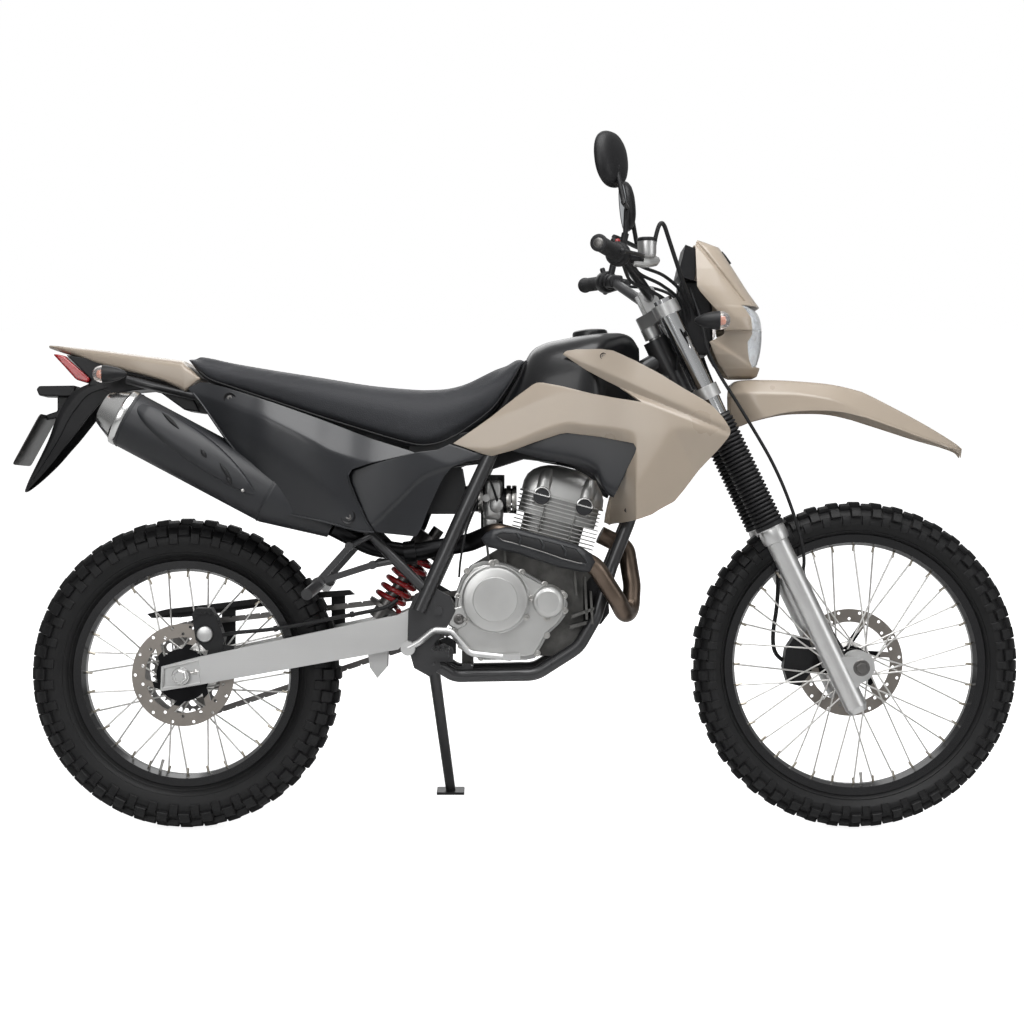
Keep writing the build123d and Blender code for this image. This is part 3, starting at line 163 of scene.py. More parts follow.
sky.links.new(parts_of.outputs["Y"], square.inputs[0])
sky.links.new(parts_of.outputs["Y"], square.inputs[1])
sky.links.new(square.outputs[0], fourth.inputs[0])
sky.links.new(square.outputs[0], fourth.inputs[1])
sky.links.new(fourth.outputs[0], sides.inputs[0])
sky.links.new(parts_of.outputs["Z"], overhead.inputs["Value"])
sky.links.new(sides.outputs[0], total.inputs[0])
sky.links.new(overhead.outputs["Result"], total.inputs[1])
sky.links.new(total.outputs[0], mirror_share.inputs[1])
sky.links.new(paths.outputs["Is Glossy Ray"], mirror_share.inputs[0])
sky.links.new(paths.outputs["Is Camera Ray"], seen.inputs[0])
sky.links.new(paths.outputs["Is Transmission Ray"], through.inputs[0])
sky.links.new(mirror_share.outputs[0], through.inputs[1])
sky.links.new(through.outputs[0], seen.inputs[1])
sky.links.new(seen.outputs[0], strength.inputs["Value"])
sky.links.new(strength.outputs["Result"], glow.inputs["Strength"])
sky.links.new(glow.outputs["Background"], out.inputs["Surface"])

# %% [markdown]
# ## Finishes
# Each finish is one Principled shader. Its colour and gloss wander a little with soft noise in
# the piece's own coordinates, as moulded plastic, paint and cast metal really do, and a fine
# bump gives the grain: none on paint, pimples on plastic, a leather net on vinyl. The numbers
# that are the same all over, such as metal or coat, are set straight on the shader.


# %% A finish from noise
def finish(name, colour, rough, metal=0.0, coat=0.0, drift=0.12, patch=9.0, grain=900.0, depth=0.05,
           net=False, sheen=0.0, spread=0.08, stretch=(1.0, 1.0, 1.0), shine=0.5):
    """A Principled material: colour and roughness from broad noise, bump from fine noise or a cell net."""
    made = bpy.data.materials.new(name)
    made.use_nodes = True
    tree = made.node_tree
    shader = tree.nodes["Principled BSDF"]
    place = tree.nodes.new("ShaderNodeTexCoord")
    frame_map = tree.nodes.new("ShaderNodeMapping")
    frame_map.inputs["Scale"].default_value = stretch
    tree.links.new(place.outputs["Object"], frame_map.inputs["Vector"])
    broad = tree.nodes.new("ShaderNodeTexNoise")
    broad.inputs["Scale"].default_value = patch
    broad.inputs["Detail"].default_value = 5.0
    tree.links.new(frame_map.outputs["Vector"], broad.inputs["Vector"])
    ramp = tree.nodes.new("ShaderNodeValToRGB")
    low, high = [c * (1 - drift) for c in colour], [min(c * (1 + drift), 1.0) for c in colour]
    ramp.color_ramp.elements[0].position, ramp.color_ramp.elements[1].position = 0.3, 0.7
    ramp.color_ramp.elements[0].color = (*low, 1.0)
    ramp.color_ramp.elements[1].color = (*high, 1.0)
    tree.links.new(broad.outputs["Fac"], ramp.inputs["Fac"])
    tree.links.new(ramp.outputs["Color"], shader.inputs["Base Color"])
    gloss = tree.nodes.new("ShaderNodeMapRange")
    gloss.inputs["To Min"].default_value = max(rough - spread, 0.02)
    gloss.inputs["To Max"].default_value = min(rough + spread, 1.0)
    tree.links.new(broad.outputs["Fac"], gloss.inputs["Value"])
    tree.links.new(gloss.outputs["Result"], shader.inputs["Roughness"])
    fine = tree.nodes.new("ShaderNodeTexVoronoi" if net else "ShaderNodeTexNoise")
    fine.inputs["Scale"].default_value = grain
    tree.links.new(frame_map.outputs["Vector"], fine.inputs["Vector"])
    bump = tree.nodes.new("ShaderNodeBump")
    bump.inputs["Strength"].default_value = depth
    bump.inputs["Distance"].default_value = 0.001
    tree.links.new(fine.outputs["Distance" if net else "Fac"], bump.inputs["Height"])
    tree.links.new(bump.outputs["Normal"], shader.inputs["Normal"])
    shader.inputs["Metallic"].default_value = metal
    shader.inputs["Coat Weight"].default_value = coat
    shader.inputs["Coat Roughness"].default_value = 0.12
    shader.inputs["Sheen Weight"].default_value = sheen
    shader.inputs["Specular IOR Level"].default_value = shine
    return made


greige = finish("greige_plastic", (0.405, 0.340, 0.272), 0.30, coat=0.25, drift=0.03, depth=0.03)
black_panel = finish("black_panel", (0.013, 0.014, 0.017), 0.35, coat=0.15, drift=0.15, depth=0.12, grain=1500.0,
                     shine=0.5)
tank_black = finish("tank_black", (0.008, 0.008, 0.009), 0.30, coat=0.15, drift=0.15, depth=0.08, grain=1400.0,
                    shine=0.4)
black_part = finish("black_part", (0.011, 0.011, 0.012), 0.42, drift=0.25, depth=0.20, grain=1100.0, shine=0.3)
vinyl = finish("seat_vinyl", (0.028, 0.029, 0.033), 0.52, drift=0.10, depth=0.42, grain=620.0, net=True, sheen=0.10,
               shine=0.25)
rubber = finish("tyre_rubber", (0.0075, 0.0075, 0.008), 0.52, drift=0.22, patch=16.0, depth=0.30, grain=700.0,
                shine=0.3)
soft_rubber = finish("soft_rubber", (0.014, 0.014, 0.015), 0.50, drift=0.2, depth=0.20, grain=900.0, shine=0.3)
frame_paint = finish("frame_paint", (0.045, 0.045, 0.047), 0.30, metal=0.45, coat=0.3, drift=0.12, depth=0.03)
satin_alloy = finish("satin_alloy", (0.60, 0.60, 0.595), 0.34, metal=0.92, drift=0.05, depth=0.10, grain=300.0,
                     stretch=(0.08, 1.0, 1.0))
slider_alloy = finish("slider_alloy", (0.62, 0.62, 0.615), 0.36, metal=0.90, drift=0.05, depth=0.06, grain=500.0)
cast_alloy = finish("cast_alloy", (0.36, 0.36, 0.355), 0.46, metal=0.85, drift=0.14, patch=22.0, depth=0.35,
                    grain=850.0)
cover_alloy = finish("cover_alloy", (0.56, 0.56, 0.55), 0.36, metal=0.85, drift=0.07, patch=14.0, depth=0.14,
                     grain=900.0)
fin_alloy = finish("fin_alloy", (0.62, 0.62, 0.61), 0.42, metal=0.9, drift=0.08, patch=20.0, depth=0.10)
dark_cast = finish("dark_cast", (0.115, 0.113, 0.108), 0.50, metal=0.85, drift=0.35, patch=28.0, depth=0.45,
                   grain=500.0)
bright_alloy = finish("bright_alloy", (0.74, 0.74, 0.73), 0.22, metal=1.0, drift=0.06, depth=0.05)
chrome = finish("chrome_tube", (0.70, 0.71, 0.72), 0.09, metal=1.0, drift=0.05, depth=0.02, spread=0.03)
dark_steel = finish("dark_steel", (0.17, 0.165, 0.16), 0.38, metal=0.9, drift=0.18, patch=25.0, depth=0.10)
zinc = finish("zinc_bolt", (0.55, 0.54, 0.52), 0.30, metal=1.0, drift=0.10, patch=40.0, depth=0.05)
header = finish("header_steel", (0.155, 0.118, 0.092), 0.34, metal=0.9, drift=0.38, patch=11.0, depth=0.08)
matte_black = finish("heat_black", (0.018, 0.019, 0.022), 0.46, drift=0.18, depth=0.16, grain=900.0, shine=0.5)
disc_steel = finish("disc_steel", (0.36, 0.335, 0.31), 0.30, metal=0.95, drift=0.12, patch=30.0, depth=0.08,
                    grain=260.0)
plate_grey = finish("plate_grey", (0.045, 0.044, 0.042), 0.35, metal=0.5, drift=0.2, patch=20.0, depth=0.03)
brass = finish("brass_nipple", (0.44, 0.40, 0.33), 0.34, metal=1.0, drift=0.12, patch=60.0, depth=0.05)
rim_black = finish("rim_black", (0.005, 0.005, 0.006), 0.22, metal=0.2, coat=0.3, drift=0.15, depth=0.03)
red_paint = finish("spring_red", (0.36, 0.010, 0.012), 0.30, coat=0.5, drift=0.15, patch=30.0, depth=0.03)
mirror_glass = finish("mirror_glass", (0.62, 0.66, 0.70), 0.04, metal=1.0, drift=0.03, depth=0.01, spread=0.02)
print("finishes", len(bpy.data.materials))


# %% Black paint on the pipe behind the shield
def painted_behind(made, from_x, to_x, black=(0.016, 0.016, 0.017, 1.0)):
    """Black paint behind one x in metres, the bare finish ahead of the other, mixed in between."""
    tree = made.node_tree
    place = tree.nodes.new("ShaderNodeTexCoord")
    split = tree.nodes.new("ShaderNodeSeparateXYZ")
    reach = tree.nodes.new("ShaderNodeMapRange")
    reach.interpolation_type = "SMOOTHSTEP"
    reach.inputs["From Min"].default_value, reach.inputs["From Max"].default_value = from_x, to_x
    both_coats = tree.nodes.new("ShaderNodeMix")
    both_coats.data_type = "RGBA"
    both_coats.inputs[6].default_value = black      # colour sockets: 6 and 7 in, 2 out
    tree.links.new(place.outputs["Object"], split.inputs["Vector"])
    tree.links.new(split.outputs["X"], reach.inputs["Value"])
    tree.links.new(reach.outputs["Result"], both_coats.inputs[0])
    tree.links.new(tree.nodes["Color Ramp"].outputs["Color"], both_coats.inputs[7])
    tree.links.new(both_coats.outputs[2], tree.nodes["Principled BSDF"].inputs["Base Color"])


painted_behind(header, placed((636.0, 0.0, 600.0))[0], placed((668.0, 0.0, 600.0))[0])


# %% Lamp lenses
def lens_finish(name, colour, rough, clear, glow_power=0.0):
    """A finish turned into a coloured lens: part of its light passes, and ribs inside break it up."""
    made = finish(name, colour, rough, drift=0.10, patch=30.0, depth=0.35, grain=150.0, coat=0.6, spread=0.03)
    shader = made.node_tree.nodes["Principled BSDF"]
    shader.inputs["Transmission Weight"].default_value = clear
    shader.inputs["IOR"].default_value = 1.49
    shader.inputs["Emission Color"].default_value = (*colour, 1.0)
    shader.inputs["Emission Strength"].default_value = glow_power
    return made


red_lens = lens_finish("red_lens", (0.36, 0.003, 0.007), 0.16, 0.05, 0.02)
signal_lens = lens_finish("signal_lens", (0.90, 0.86, 0.84), 0.10, 0.80)
lamp_glass = lens_finish("lamp_glass", (0.86, 0.88, 0.90), 0.05, 0.80)
reflector = finish("lamp_reflector", (0.80, 0.81, 0.82), 0.12, metal=1.0, drift=0.05, patch=20.0, depth=0.30,
                   grain=60.0)

# %% [markdown]
# ## Surfaces from numbers
# Nearly every part of a motorcycle is one of five surfaces: a grid stretched between two edges,
# a ring of points carried along a path, a profile turned about an axle, a row of body sections,
# or one small part repeated many times. Each is worked out here for whole arrays at once and
# kept as a pair: its points, and its faces as arrays of corner numbers.


# %% Cells of a grid
def cells(rows, columns, loop_rows=False, loop_columns=False):
    """Corner numbers of every cell of a grid of points; a loop joins the last line to the first."""
    r = np.arange(rows if loop_rows else rows - 1)[:, None]
    c = np.arange(columns if loop_columns else columns - 1)[None, :]
    after, beside = (r + 1) % rows, (c + 1) % columns
    corners = [r * columns + c, r * columns + beside, after * columns + beside, after * columns + c]
    return np.stack(np.broadcast_arrays(*corners), -1).reshape(-1, 4)


def gather(*parts):
    """Several parts as one: points stacked, corner numbers moved on by the points before them."""
    points, faces, start = [], [], 0
    for corners, cells_of in parts:
        points.append(np.asarray(corners, float).reshape(-1, 3))
        faces += [group + start for group in cells_of]
        start += len(points[-1])
    return np.concatenate(points), faces


def mirrored(part):
    """The same part on the other side of the motorcycle: y becomes -y and each face is turned over."""
    return part[0] * [1.0, -1.0, 1.0], [group[:, ::-1] for group in part[1]]


def both(part):
    """The part and its mirror image together."""
    return gather(part, mirrored(part))


# %% Carried, turned, sectioned and repeated
def along(points, steps):
    """A smooth line through the given points: cubic pieces whose slope at a point is that of its neighbours."""
    p = np.asarray(points, float)
    p = np.concatenate([[2 * p[0] - p[1]], p, [2 * p[-1] - p[-2]]])
    at = np.linspace(0, len(p) - 3 - 1e-9, steps)
    k, t = at.astype(int), (at % 1)[:, None]
    a, b, c, d = p[k], p[k + 1], p[k + 2], p[k + 3]
    return 0.5 * (2 * b + (c - a) * t + (2 * a - 5 * b + 4 * c - d) * t ** 2 + (3 * b - a - 3 * c + d) * t ** 3)


def slack(points, steps=10):
    """A hose's line: arcs (1 - t)^2 a + 2 t (1 - t) b + t^2 c from the middle of one run to that of the next."""
    p = np.asarray(points, float)
    halves = (p[1:-2] + p[2:-1]) / 2
    a, c = np.concatenate([p[:1], halves])[:, None], np.concatenate([halves, p[-1:]])[:, None]
    t = np.linspace(0, 1, steps, endpoint=False)[None, :, None]
    arcs = (1 - t) ** 2 * a + 2 * t * (1 - t) * p[1:-1, None] + t ** 2 * c
    return np.concatenate([arcs.reshape(-1, 3), p[-1:]])


def carried(profile, path, aside=(0.0, 1.0, 0.03), closed=True, capped=True):
    """A flat profile of (side, over) points carried along a path, its side turned towards one direction."""
    path, profile = np.asarray(path, float), np.asarray(profile, float)
    way = np.gradient(path, axis=0)
    way /= np.linalg.norm(way, axis=1)[:, None]
    side = np.asarray(aside, float) - (way @ aside)[:, None] * way
    side /= np.linalg.norm(side, axis=1)[:, None]
    over = np.cross(way, side)
    profile = np.broadcast_to(profile, (len(path), *profile.shape[-2:]))
    points = path[:, None] + profile[..., :1] * side[:, None] + profile[..., 1:] * over[:, None]
    faces = [cells(*points.shape[:2], loop_columns=closed)]
    if closed and capped:
        ring = np.arange(points.shape[1])
        faces += [ring[None, ::-1], ring[None] + (len(path) - 1) * points.shape[1]]
    return points.reshape(-1, 3), faces


def circle(sides, radius=1.0):
    """Points round a circle: (r cos t, r sin t) for equal steps of t."""
    turn = np.linspace(0, 2 * np.pi, sides, endpoint=False)
    return np.stack([np.cos(turn), np.sin(turn)], -1) * np.asarray(radius)[..., None, None]


def pipe(points, radius, sides=16, steps=None, aside=(0.0, 1.0, 0.03)):
    """A round bar or hose of one radius, or of one radius for each step, along points."""
    path = along(points, steps) if steps else np.asarray(points, float)
    radius = np.broadcast_to(radius, len(path)) if np.ndim(radius) == 0 else np.interp(
        np.linspace(0, 1, len(path)), np.linspace(0, 1, len(radius)), radius)
    return carried(circle(sides, radius), path, aside)


def turned(profile, centre=(0.0, 0.0, 0.0), axle=(0.0, 1.0, 0.0), sides=64, closed=False):
    """A profile of (radius, distance along the axle) points turned about that axle."""
    axle = np.asarray(axle, float) / np.linalg.norm(axle)
    first = np.cross(axle, [0.31, 0.07, 0.95])
    first /= np.linalg.norm(first)
    second = np.cross(axle, first)
    angle = np.linspace(0, 2 * np.pi, sides, endpoint=False)[:, None, None]
    radius, rise = np.asarray(profile, float)[None, :, :1], np.asarray(profile, float)[None, :, 1:]
    points = np.asarray(centre) + radius * (np.cos(angle) * first + np.sin(angle) * second) + rise * axle
    return points.reshape(-1, 3), [cells(*points.shape[:2], True, closed)]


def repeated(part, turns, places):
    """One small part many times over: its points times each turning matrix, plus each place."""
    points, faces = part
    turns, places = np.asarray(turns, float), np.asarray(places, float)
    many = np.einsum("pj,kij->kpi", points, np.broadcast_to(turns, (len(places), 3, 3))) + places[:, None]
    start = (np.arange(len(places)) * len(points))[:, None, None]
    return many.reshape(-1, 3), [(group[None] + start).reshape(-1, group.shape[1]) for group in faces]


def sections(rings, capped=True):
    """A closed body through rings of points, each ring one section of it."""
    rings = np.asarray(rings, float)
    faces = [cells(*rings.shape[:2], loop_columns=True)]
    if capped:
        ring = np.arange(rings.shape[1])
        faces += [ring[None, ::-1], ring[None] + (len(rings) - 1) * rings.shape[1]]
    return rings.reshape(-1, 3), faces


def spun(angles, axis=1):
    """Turning matrices about x, y or z by many angles at once."""
    angles = np.atleast_1d(angles)
    made = np.zeros((len(angles), 3, 3))
    i, j = (axis + 1) % 3, (axis + 2) % 3
    made[:, axis, axis] = 1.0
    made[:, i, i] = made[:, j, j] = np.cos(angles)
    made[:, i, j], made[:, j, i] = -np.sin(angles), np.sin(angles)
    return made


# %% From a part to an object
def piece(name, part, material, body, stands_for=(), sharp=35.0, weld=True, outward=True):
    """A named mesh object of a part: its points placed, its faces smooth up to a sharp angle, riding on a body."""
    points, faces = part
    mesh = bpy.data.meshes.new(name)
    sizes = np.concatenate([np.full(len(group), group.shape[1]) for group in faces])
    flat = np.concatenate([group.ravel() for group in faces])
    mesh.vertices.add(len(points))
    mesh.vertices.foreach_set("co", placed(points).ravel())
    mesh.loops.add(len(flat))
    mesh.loops.foreach_set("vertex_index", flat)
    mesh.polygons.add(len(sizes))
    mesh.polygons.foreach_set("loop_start", np.cumsum(sizes) - sizes)
    mesh.update(calc_edges=True)
    mesh.validate()
    tidy = bmesh.new()
    tidy.from_mesh(mesh)
    if weld:
        bmesh.ops.remove_doubles(tidy, verts=tidy.verts, dist=2e-5)
    if outward:
        bmesh.ops.recalc_face_normals(tidy, faces=tidy.faces)
    tidy.to_mesh(mesh)
    tidy.free()
    mesh.shade_smooth()
    mesh.set_sharp_from_angle(angle=np.radians(sharp))
    mesh.materials.append(material)
    thing = bpy.data.objects.new(name, mesh)
    bpy.context.scene.collection.objects.link(thing)
    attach(thing, body)
    if stands_for:
        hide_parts(*stands_for)
    print(name, len(mesh.polygons), "faces")
    return thing


def walled(thing, thickness, edge=0.0012, inward=-1.0):
    """A skin given its moulded wall, with the edges of the wall rounded."""
    wall = thing.modifiers.new("wall", "SOLIDIFY")
    wall.thickness, wall.offset, wall.use_even_offset = thickness / 1000.0, inward, True
    wall.use_quality_normals = True
    soften(thing, edge)
    return thing


def soften(thing, edge=0.0012, angle=40.0, segments=2):
    """Narrow rounded edges, as a mould or a file leaves them."""
    rounding = thing.modifiers.new("rounding", "BEVEL")
    rounding.width, rounding.segments, rounding.limit_method = edge, segments, "ANGLE"
    rounding.angle_limit = np.radians(angle)
    rounding.harden_normals = False
    return thing

# %% [markdown]
# ## Finishes on the solids that stay
# Tubes, castings, discs and rims come out of the CAD model as they should be. They only need
# the finish of the metal, rubber or plastic that they are made of, one row for each node.

# %% One finish for each node
node_finishes = [
    ("main_frame", frame_paint), ("swingarm", satin_alloy), ("crankcase", dark_cast),
    ("cylinder", cast_alloy), ("engine_covers", cover_alloy), ("exhaust_pipe", header),
    ("silencer", matte_black), ("silencer_cap", bright_alloy), ("exhaust_shield", matte_black),
    ("intake", black_part), ("fuel_tank", tank_black), ("tank_cap", black_part),
    ("tank_side_panels", black_panel), ("shrouds", greige), ("seat", vinyl),
    ("side_covers", black_panel), ("rear_panels", black_panel), ("tail_cowl", greige),
    ("rear_mudguard", black_part), ("tail_lamp", red_lens), ("rear_signals", black_part),
    ("rear_shock", dark_steel), ("shock_spring", red_paint), ("chain", dark_steel),
    ("chain_guard", black_part), ("rear_caliper", black_part), ("foot_controls", slider_alloy),
    ("footpegs", frame_paint), ("side_stand", frame_paint), ("triple_clamps", slider_alloy),
    ("fork_tubes", chrome), ("fork_gaiters", soft_rubber), ("fork_lowers", slider_alloy),
    ("handlebar", frame_paint), ("grips", soft_rubber), ("hand_controls", black_part),
    ("mirrors", black_part), ("front_fender", greige), ("headlight_cowl", greige),
    ("headlight_lens", lamp_glass), ("front_signals", black_part), ("instrument", black_part),
    ("front_caliper", black_part), ("front_cables", soft_rubber), ("front_tyre", rubber),
    ("front_rim", rim_black), ("front_hub", rim_black), ("front_disc", disc_steel),
    ("rear_tyre", rubber), ("rear_rim", rim_black), ("rear_hub", rim_black),
    ("rear_disc", disc_steel), ("rear_sprocket", dark_steel),
]
for node, material in node_finishes:
    solid = frame["nodes"][node]
    solid.data.materials.clear()
    solid.data.materials.append(material)
print("solids dressed", len(node_finishes), "of", len(frame["nodes"]))

# %% [markdown]
# ## Knobbly tyres
# A dual sport tyre is a round carcass with rubber blocks moulded onto it: paired blocks on the
# crown, a staggered row beside them, and shoulder blocks that wrap down onto the sidewall. Each
# block is eight points round its foot, lifted along the carcass's own normal and drawn in a
# little at the top. One formula makes every block of a row, because a row only repeats an angle.

# %% The carcass and its blocks
def tyre_line(radius, half, seat, rim_half, depth):
    """The carcass's section from the middle of the crown to the bead, as (y, radius) points 1 mm apart."""
    base = radius - depth
    marks = [(0.0, base), (half * 0.30, base - 1.2), (half * 0.56, base - 5.5), (half * 0.78, base - 12.5),
             (half * 0.915, base - 22.0), (half * 0.965, base - 34.0), (half * 0.95, (base + seat) / 2 - 1),
             (half * 0.83, seat + 27), (rim_half + 5.5, seat + 17.5), (rim_half - 0.5, seat + 13.2),
             (rim_half - 5.4, seat + 11.0), (rim_half - 5.4, seat + 1.0)]
    line = along(marks, 400)
    run = np.concatenate([[0.0], np.cumsum(np.linalg.norm(np.diff(line, axis=0), axis=1))])
    even = np.arange(0.0, run[-1], 1.0)
    return np.stack([np.interp(even, run, line[:, 0]), np.interp(even, run, line[:, 1])], -1)


FOOT = np.array([(-1, -1), (-0.33, -1), (0.33, -1), (1, -1), (1, 1), (0.33, 1), (-0.33, 1), (-1, 1)], float)


def block_row(line, centre, side, start, stop, length, height, count, phase, skew=0.0, drop=2.0):
    """A row of tread blocks: feet from start to stop along the section, lifted by height along its normal."""
    slope = np.gradient(line, axis=0)
    normal = np.stack([-slope[:, 1], slope[:, 0]], -1) / np.linalg.norm(slope, axis=1)[:, None]
    normal *= np.sign(normal[0, 1])
    levels = np.array([(-drop, 1.06, 1.08), (height * 0.82, 0.95, 0.93), (height, 0.86, 0.82)])
    half_run, half_length = (stop - start) / 2, length / 2
    s = (start + stop) / 2 + levels[:, 1:2] * half_run * FOOT[:, 0]
    index = np.arange(len(line))
    flat = np.stack([np.interp(s, index, line[:, k]) + levels[:, :1] * np.interp(s, index, normal[:, k])
                     for k in (0, 1)], -1)
    shift = (levels[:, 2:] * half_length * FOOT[:, 1] + skew * (s - start)) / flat[..., 1]
    angle = (np.arange(count) + phase)[:, None, None] * 2 * np.pi / count + shift
    points = np.stack([flat[..., 1] * np.sin(angle), np.broadcast_to(side * flat[..., 0], angle.shape),
                       flat[..., 1] * np.cos(angle)], -1) + centre
    one = [cells(3, 8, loop_columns=True), np.array([[16, 17, 22, 23], [17, 18, 21, 22], [18, 19, 20, 21]])]
    start_at = (np.arange(count) * 24)[:, None, None]
    return points.reshape(-1, 3), [(group[None] + start_at).reshape(-1, 4) for group in one]


def knobbly(centre, radius, half, seat, rim_half, depth, count, rows):
    """A carcass turned about the axle, with its rows of blocks on both sides."""
    line = tyre_line(radius, half, seat, rim_half, depth)
    thin = line[np.unique(np.linspace(0, len(line) - 1, 34).astype(int))]
    ring = np.concatenate([thin[::-1] * [-1.0, 1.0], thin[1:]])[:, ::-1]
    ribs = [turned([(r - 1.2, y), (r + 0.1, y + s * 0.9), (r + 1.2, y)], centre, sides=128)
            for s in (-1, 1) for r, y in ((seat + 19.5, s * (rim_half + 8.5)), (seat + 30.5, s * half * 0.865))]
    blocks = [block_row(line, centre, side, a, b, long, high, count, phase + (side > 0) * swap, side * skew)
              for side in (-1, 1) for a, b, long, high, phase, swap, skew in rows]
    return gather(turned(ring, centre, sides=160, closed=True), *ribs, *blocks)


# %% The two tyres
rear_blocks = [(3, 21, 28, 11.0, 0.00, 0.0, 0.0), (25, 42, 25, 10.5, 0.50, 0.5, -0.10),
               (46, 68, 25, 9.5, 0.00, 0.5, 0.0), (62, 84, 20, 4.2, 0.50, 0.5, 0.0)]
front_blocks = [(3, 16, 25, 10.0, 0.00, 0.0, 0.0), (19, 32, 22, 9.5, 0.50, 0.5, -0.08),
                (35, 53, 22, 8.8, 0.00, 0.5, 0.0), (49, 68, 17, 3.6, 0.50, 0.5, 0.0)]
piece("rear_tread", knobbly(REAR_AXLE, 331.0, 61.0, 228.5, 33.0, 11.0, 40, rear_blocks), rubber,
      "rear_wheel", ("rear_tyre",), sharp=28.0)
piece("front_tread", knobbly(FRONT_AXLE, 349.0, 46.5, 266.7, 26.0, 10.0, 46, front_blocks), rubber,
      "front_wheel", ("front_tyre",), sharp=28.0)

# %% [markdown]
# ## Rims, spokes and hubs
# The CAD hubs carry their spokes as one solid, but the real hub is black and the spokes are
# bright. One material tells them apart by how far a point lies from the axle: the distance is
# the length of the part of its place that is square to the axle.

# %% Black hub, bright spokes
def hub_finish(name, centre, reach, steel_colour=(0.72, 0.71, 0.69, 1.0)):
    """Black paint within a reach of the axle and bare steel beyond it."""
    made = finish(name, (0.014, 0.014, 0.015), 0.34, metal=1.0, drift=0.2, patch=30.0, depth=0.05)
    tree = made.node_tree
    shader = tree.nodes["Principled BSDF"]
    place = tree.nodes.new("ShaderNodeTexCoord")
    offset = tree.nodes.new("ShaderNodeVectorMath")
    offset.operation = "SUBTRACT"
    offset.inputs[1].default_value = tuple(placed(centre))
    square = tree.nodes.new("ShaderNodeVectorMath")
    square.operation = "CROSS_PRODUCT"
    square.inputs[1].default_value = tuple(LEFT)
    length = tree.nodes.new("ShaderNodeVectorMath")
    length.operation = "LENGTH"
    beyond = tree.nodes.new("ShaderNodeMath")
    beyond.operation = "GREATER_THAN"
    beyond.inputs[1].default_value = reach / 1000.0
    steel = tree.nodes.new("ShaderNodeMix")
    steel.data_type = "RGBA"
    steel.inputs["B"].default_value = steel_colour
    tree.links.new(place.outputs["Object"], offset.inputs[0])
    tree.links.new(offset.outputs["Vector"], square.inputs[0])
    tree.links.new(square.outputs["Vector"], length.inputs[0])
    tree.links.new(length.outputs["Value"], beyond.inputs[0])
    tree.links.new(beyond.outputs["Value"], steel.inputs["Factor"])
    ramp = [n for n in tree.nodes if n.type == "VALTORGB"][0]
    tree.links.new(ramp.outputs["Color"], steel.inputs["A"])
    tree.links.new(steel.outputs["Result"], shader.inputs["Base Color"])
    return made


for node, centre, reach in (("rear_hub", REAR_AXLE, 46.0), ("front_hub", FRONT_AXLE, 38.0)):
    frame["nodes"][node].data.materials[0] = hub_finish(node + "_finish", centre, reach)
for node, centre, reach in (("rear_disc", REAR_AXLE, 66.0), ("front_disc", FRONT_AXLE, 68.0)):
    frame["nodes"][node].data.materials[0] = hub_finish(node + "_finish", centre, reach, (0.30, 0.275, 0.25, 1.0))


# %% Nipples at the rim, and a valve
def nipples(centre, count, seat, lead):
    """Spoke nipples: small tapered barrels at the rim, each turned to its own spoke."""
    k = np.arange(count)
    side, way = np.where(k % 2, 1, -1), np.where((k // 2) % 2, 1, -1)
    turn = 2 * np.pi * k / count
    barrel = turned([(0.0, -7.0), (1.9, -7.0), (2.5, -5.0), (2.7, 9.0), (0.0, 9.0)], axle=(0, 0, 1), sides=8)
    tip = spun(turn - way * np.radians(lead) * 0.12)
    spots = np.stack([np.sin(turn) * (seat - 17), side * 4.6, np.cos(turn) * (seat - 17)], -1) + centre
    return repeated(barrel, tip, spots)


piece("rear_nipples", nipples(REAR_AXLE, 32, 228.5, 55.0), brass, "rear_wheel")
piece("front_nipples", nipples(FRONT_AXLE, 36, 266.7, 60.0), brass, "front_wheel")
for label, centre, seat, turn in (("rear", REAR_AXLE, 228.5, np.radians(196)),
                                  ("front", FRONT_AXLE, 266.7, np.radians(176))):
    way = np.array([np.sin(turn), 0.0, np.cos(turn)])
    stem = pipe(centre + way * np.array([[seat - 12], [seat - 24], [seat - 34]]), [3.0, 2.8, 3.4], 12)
    piece(label + "_valve", stem, zinc, label + "_wheel")

# %% [markdown]
# ## Moulded side panels
# The shrouds, side covers and rear panels are thin mouldings whose character is in their folds.
# In side view each is a patch between four edges, the opposite edges blended and the corners,
# which are counted twice, taken off once. How far it stands out is a smooth wall along the
# motorcycle, less a ramp for every fold: zero on one side of a line, rising on the other, with
# a small radius where it starts. Solidify then gives the skin its moulded thickness.

# %% Patches and folds
def edge(points, count):
    """Evenly spaced points along straight runs between the given corners."""
    p = np.asarray(points, float)
    run = np.concatenate([[0.0], np.cumsum(np.linalg.norm(np.diff(p, axis=0), axis=1))])
    at = np.linspace(0.0, run[-1], count)
    return np.stack([np.interp(at, run, p[:, k]) for k in range(p.shape[1])], -1)


def patch(low, high, rear=None, front=None, n=80, m=30):
    """A grid between four edges: both blends of opposite edges added, the blend of the corners taken off."""
    low, high = edge(low, n)[:, None], edge(high, n)[:, None]
    rear = edge(rear if rear else [low[0, 0], high[0, 0]], m)[None]
    front = edge(front if front else [low[-1, 0], high[-1, 0]], m)[None]
    u, v = np.linspace(0, 1, n)[:, None, None], np.linspace(0, 1, m)[None, :, None]
    corners = ((1 - u) * (1 - v) * low[0] + u * (1 - v) * low[-1] + (1 - u) * v * high[0] + u * v * high[-1])
    return (1 - v) * low + v * high + (1 - u) * rear + u * front - corners


def ramp(distance, radius=5.0):
    """Zero for a negative distance, itself for a positive one, rounded between: (d + sqrt(d2 + r2)) / 2."""
    return 0.5 * (distance + np.sqrt(distance ** 2 + radius ** 2))


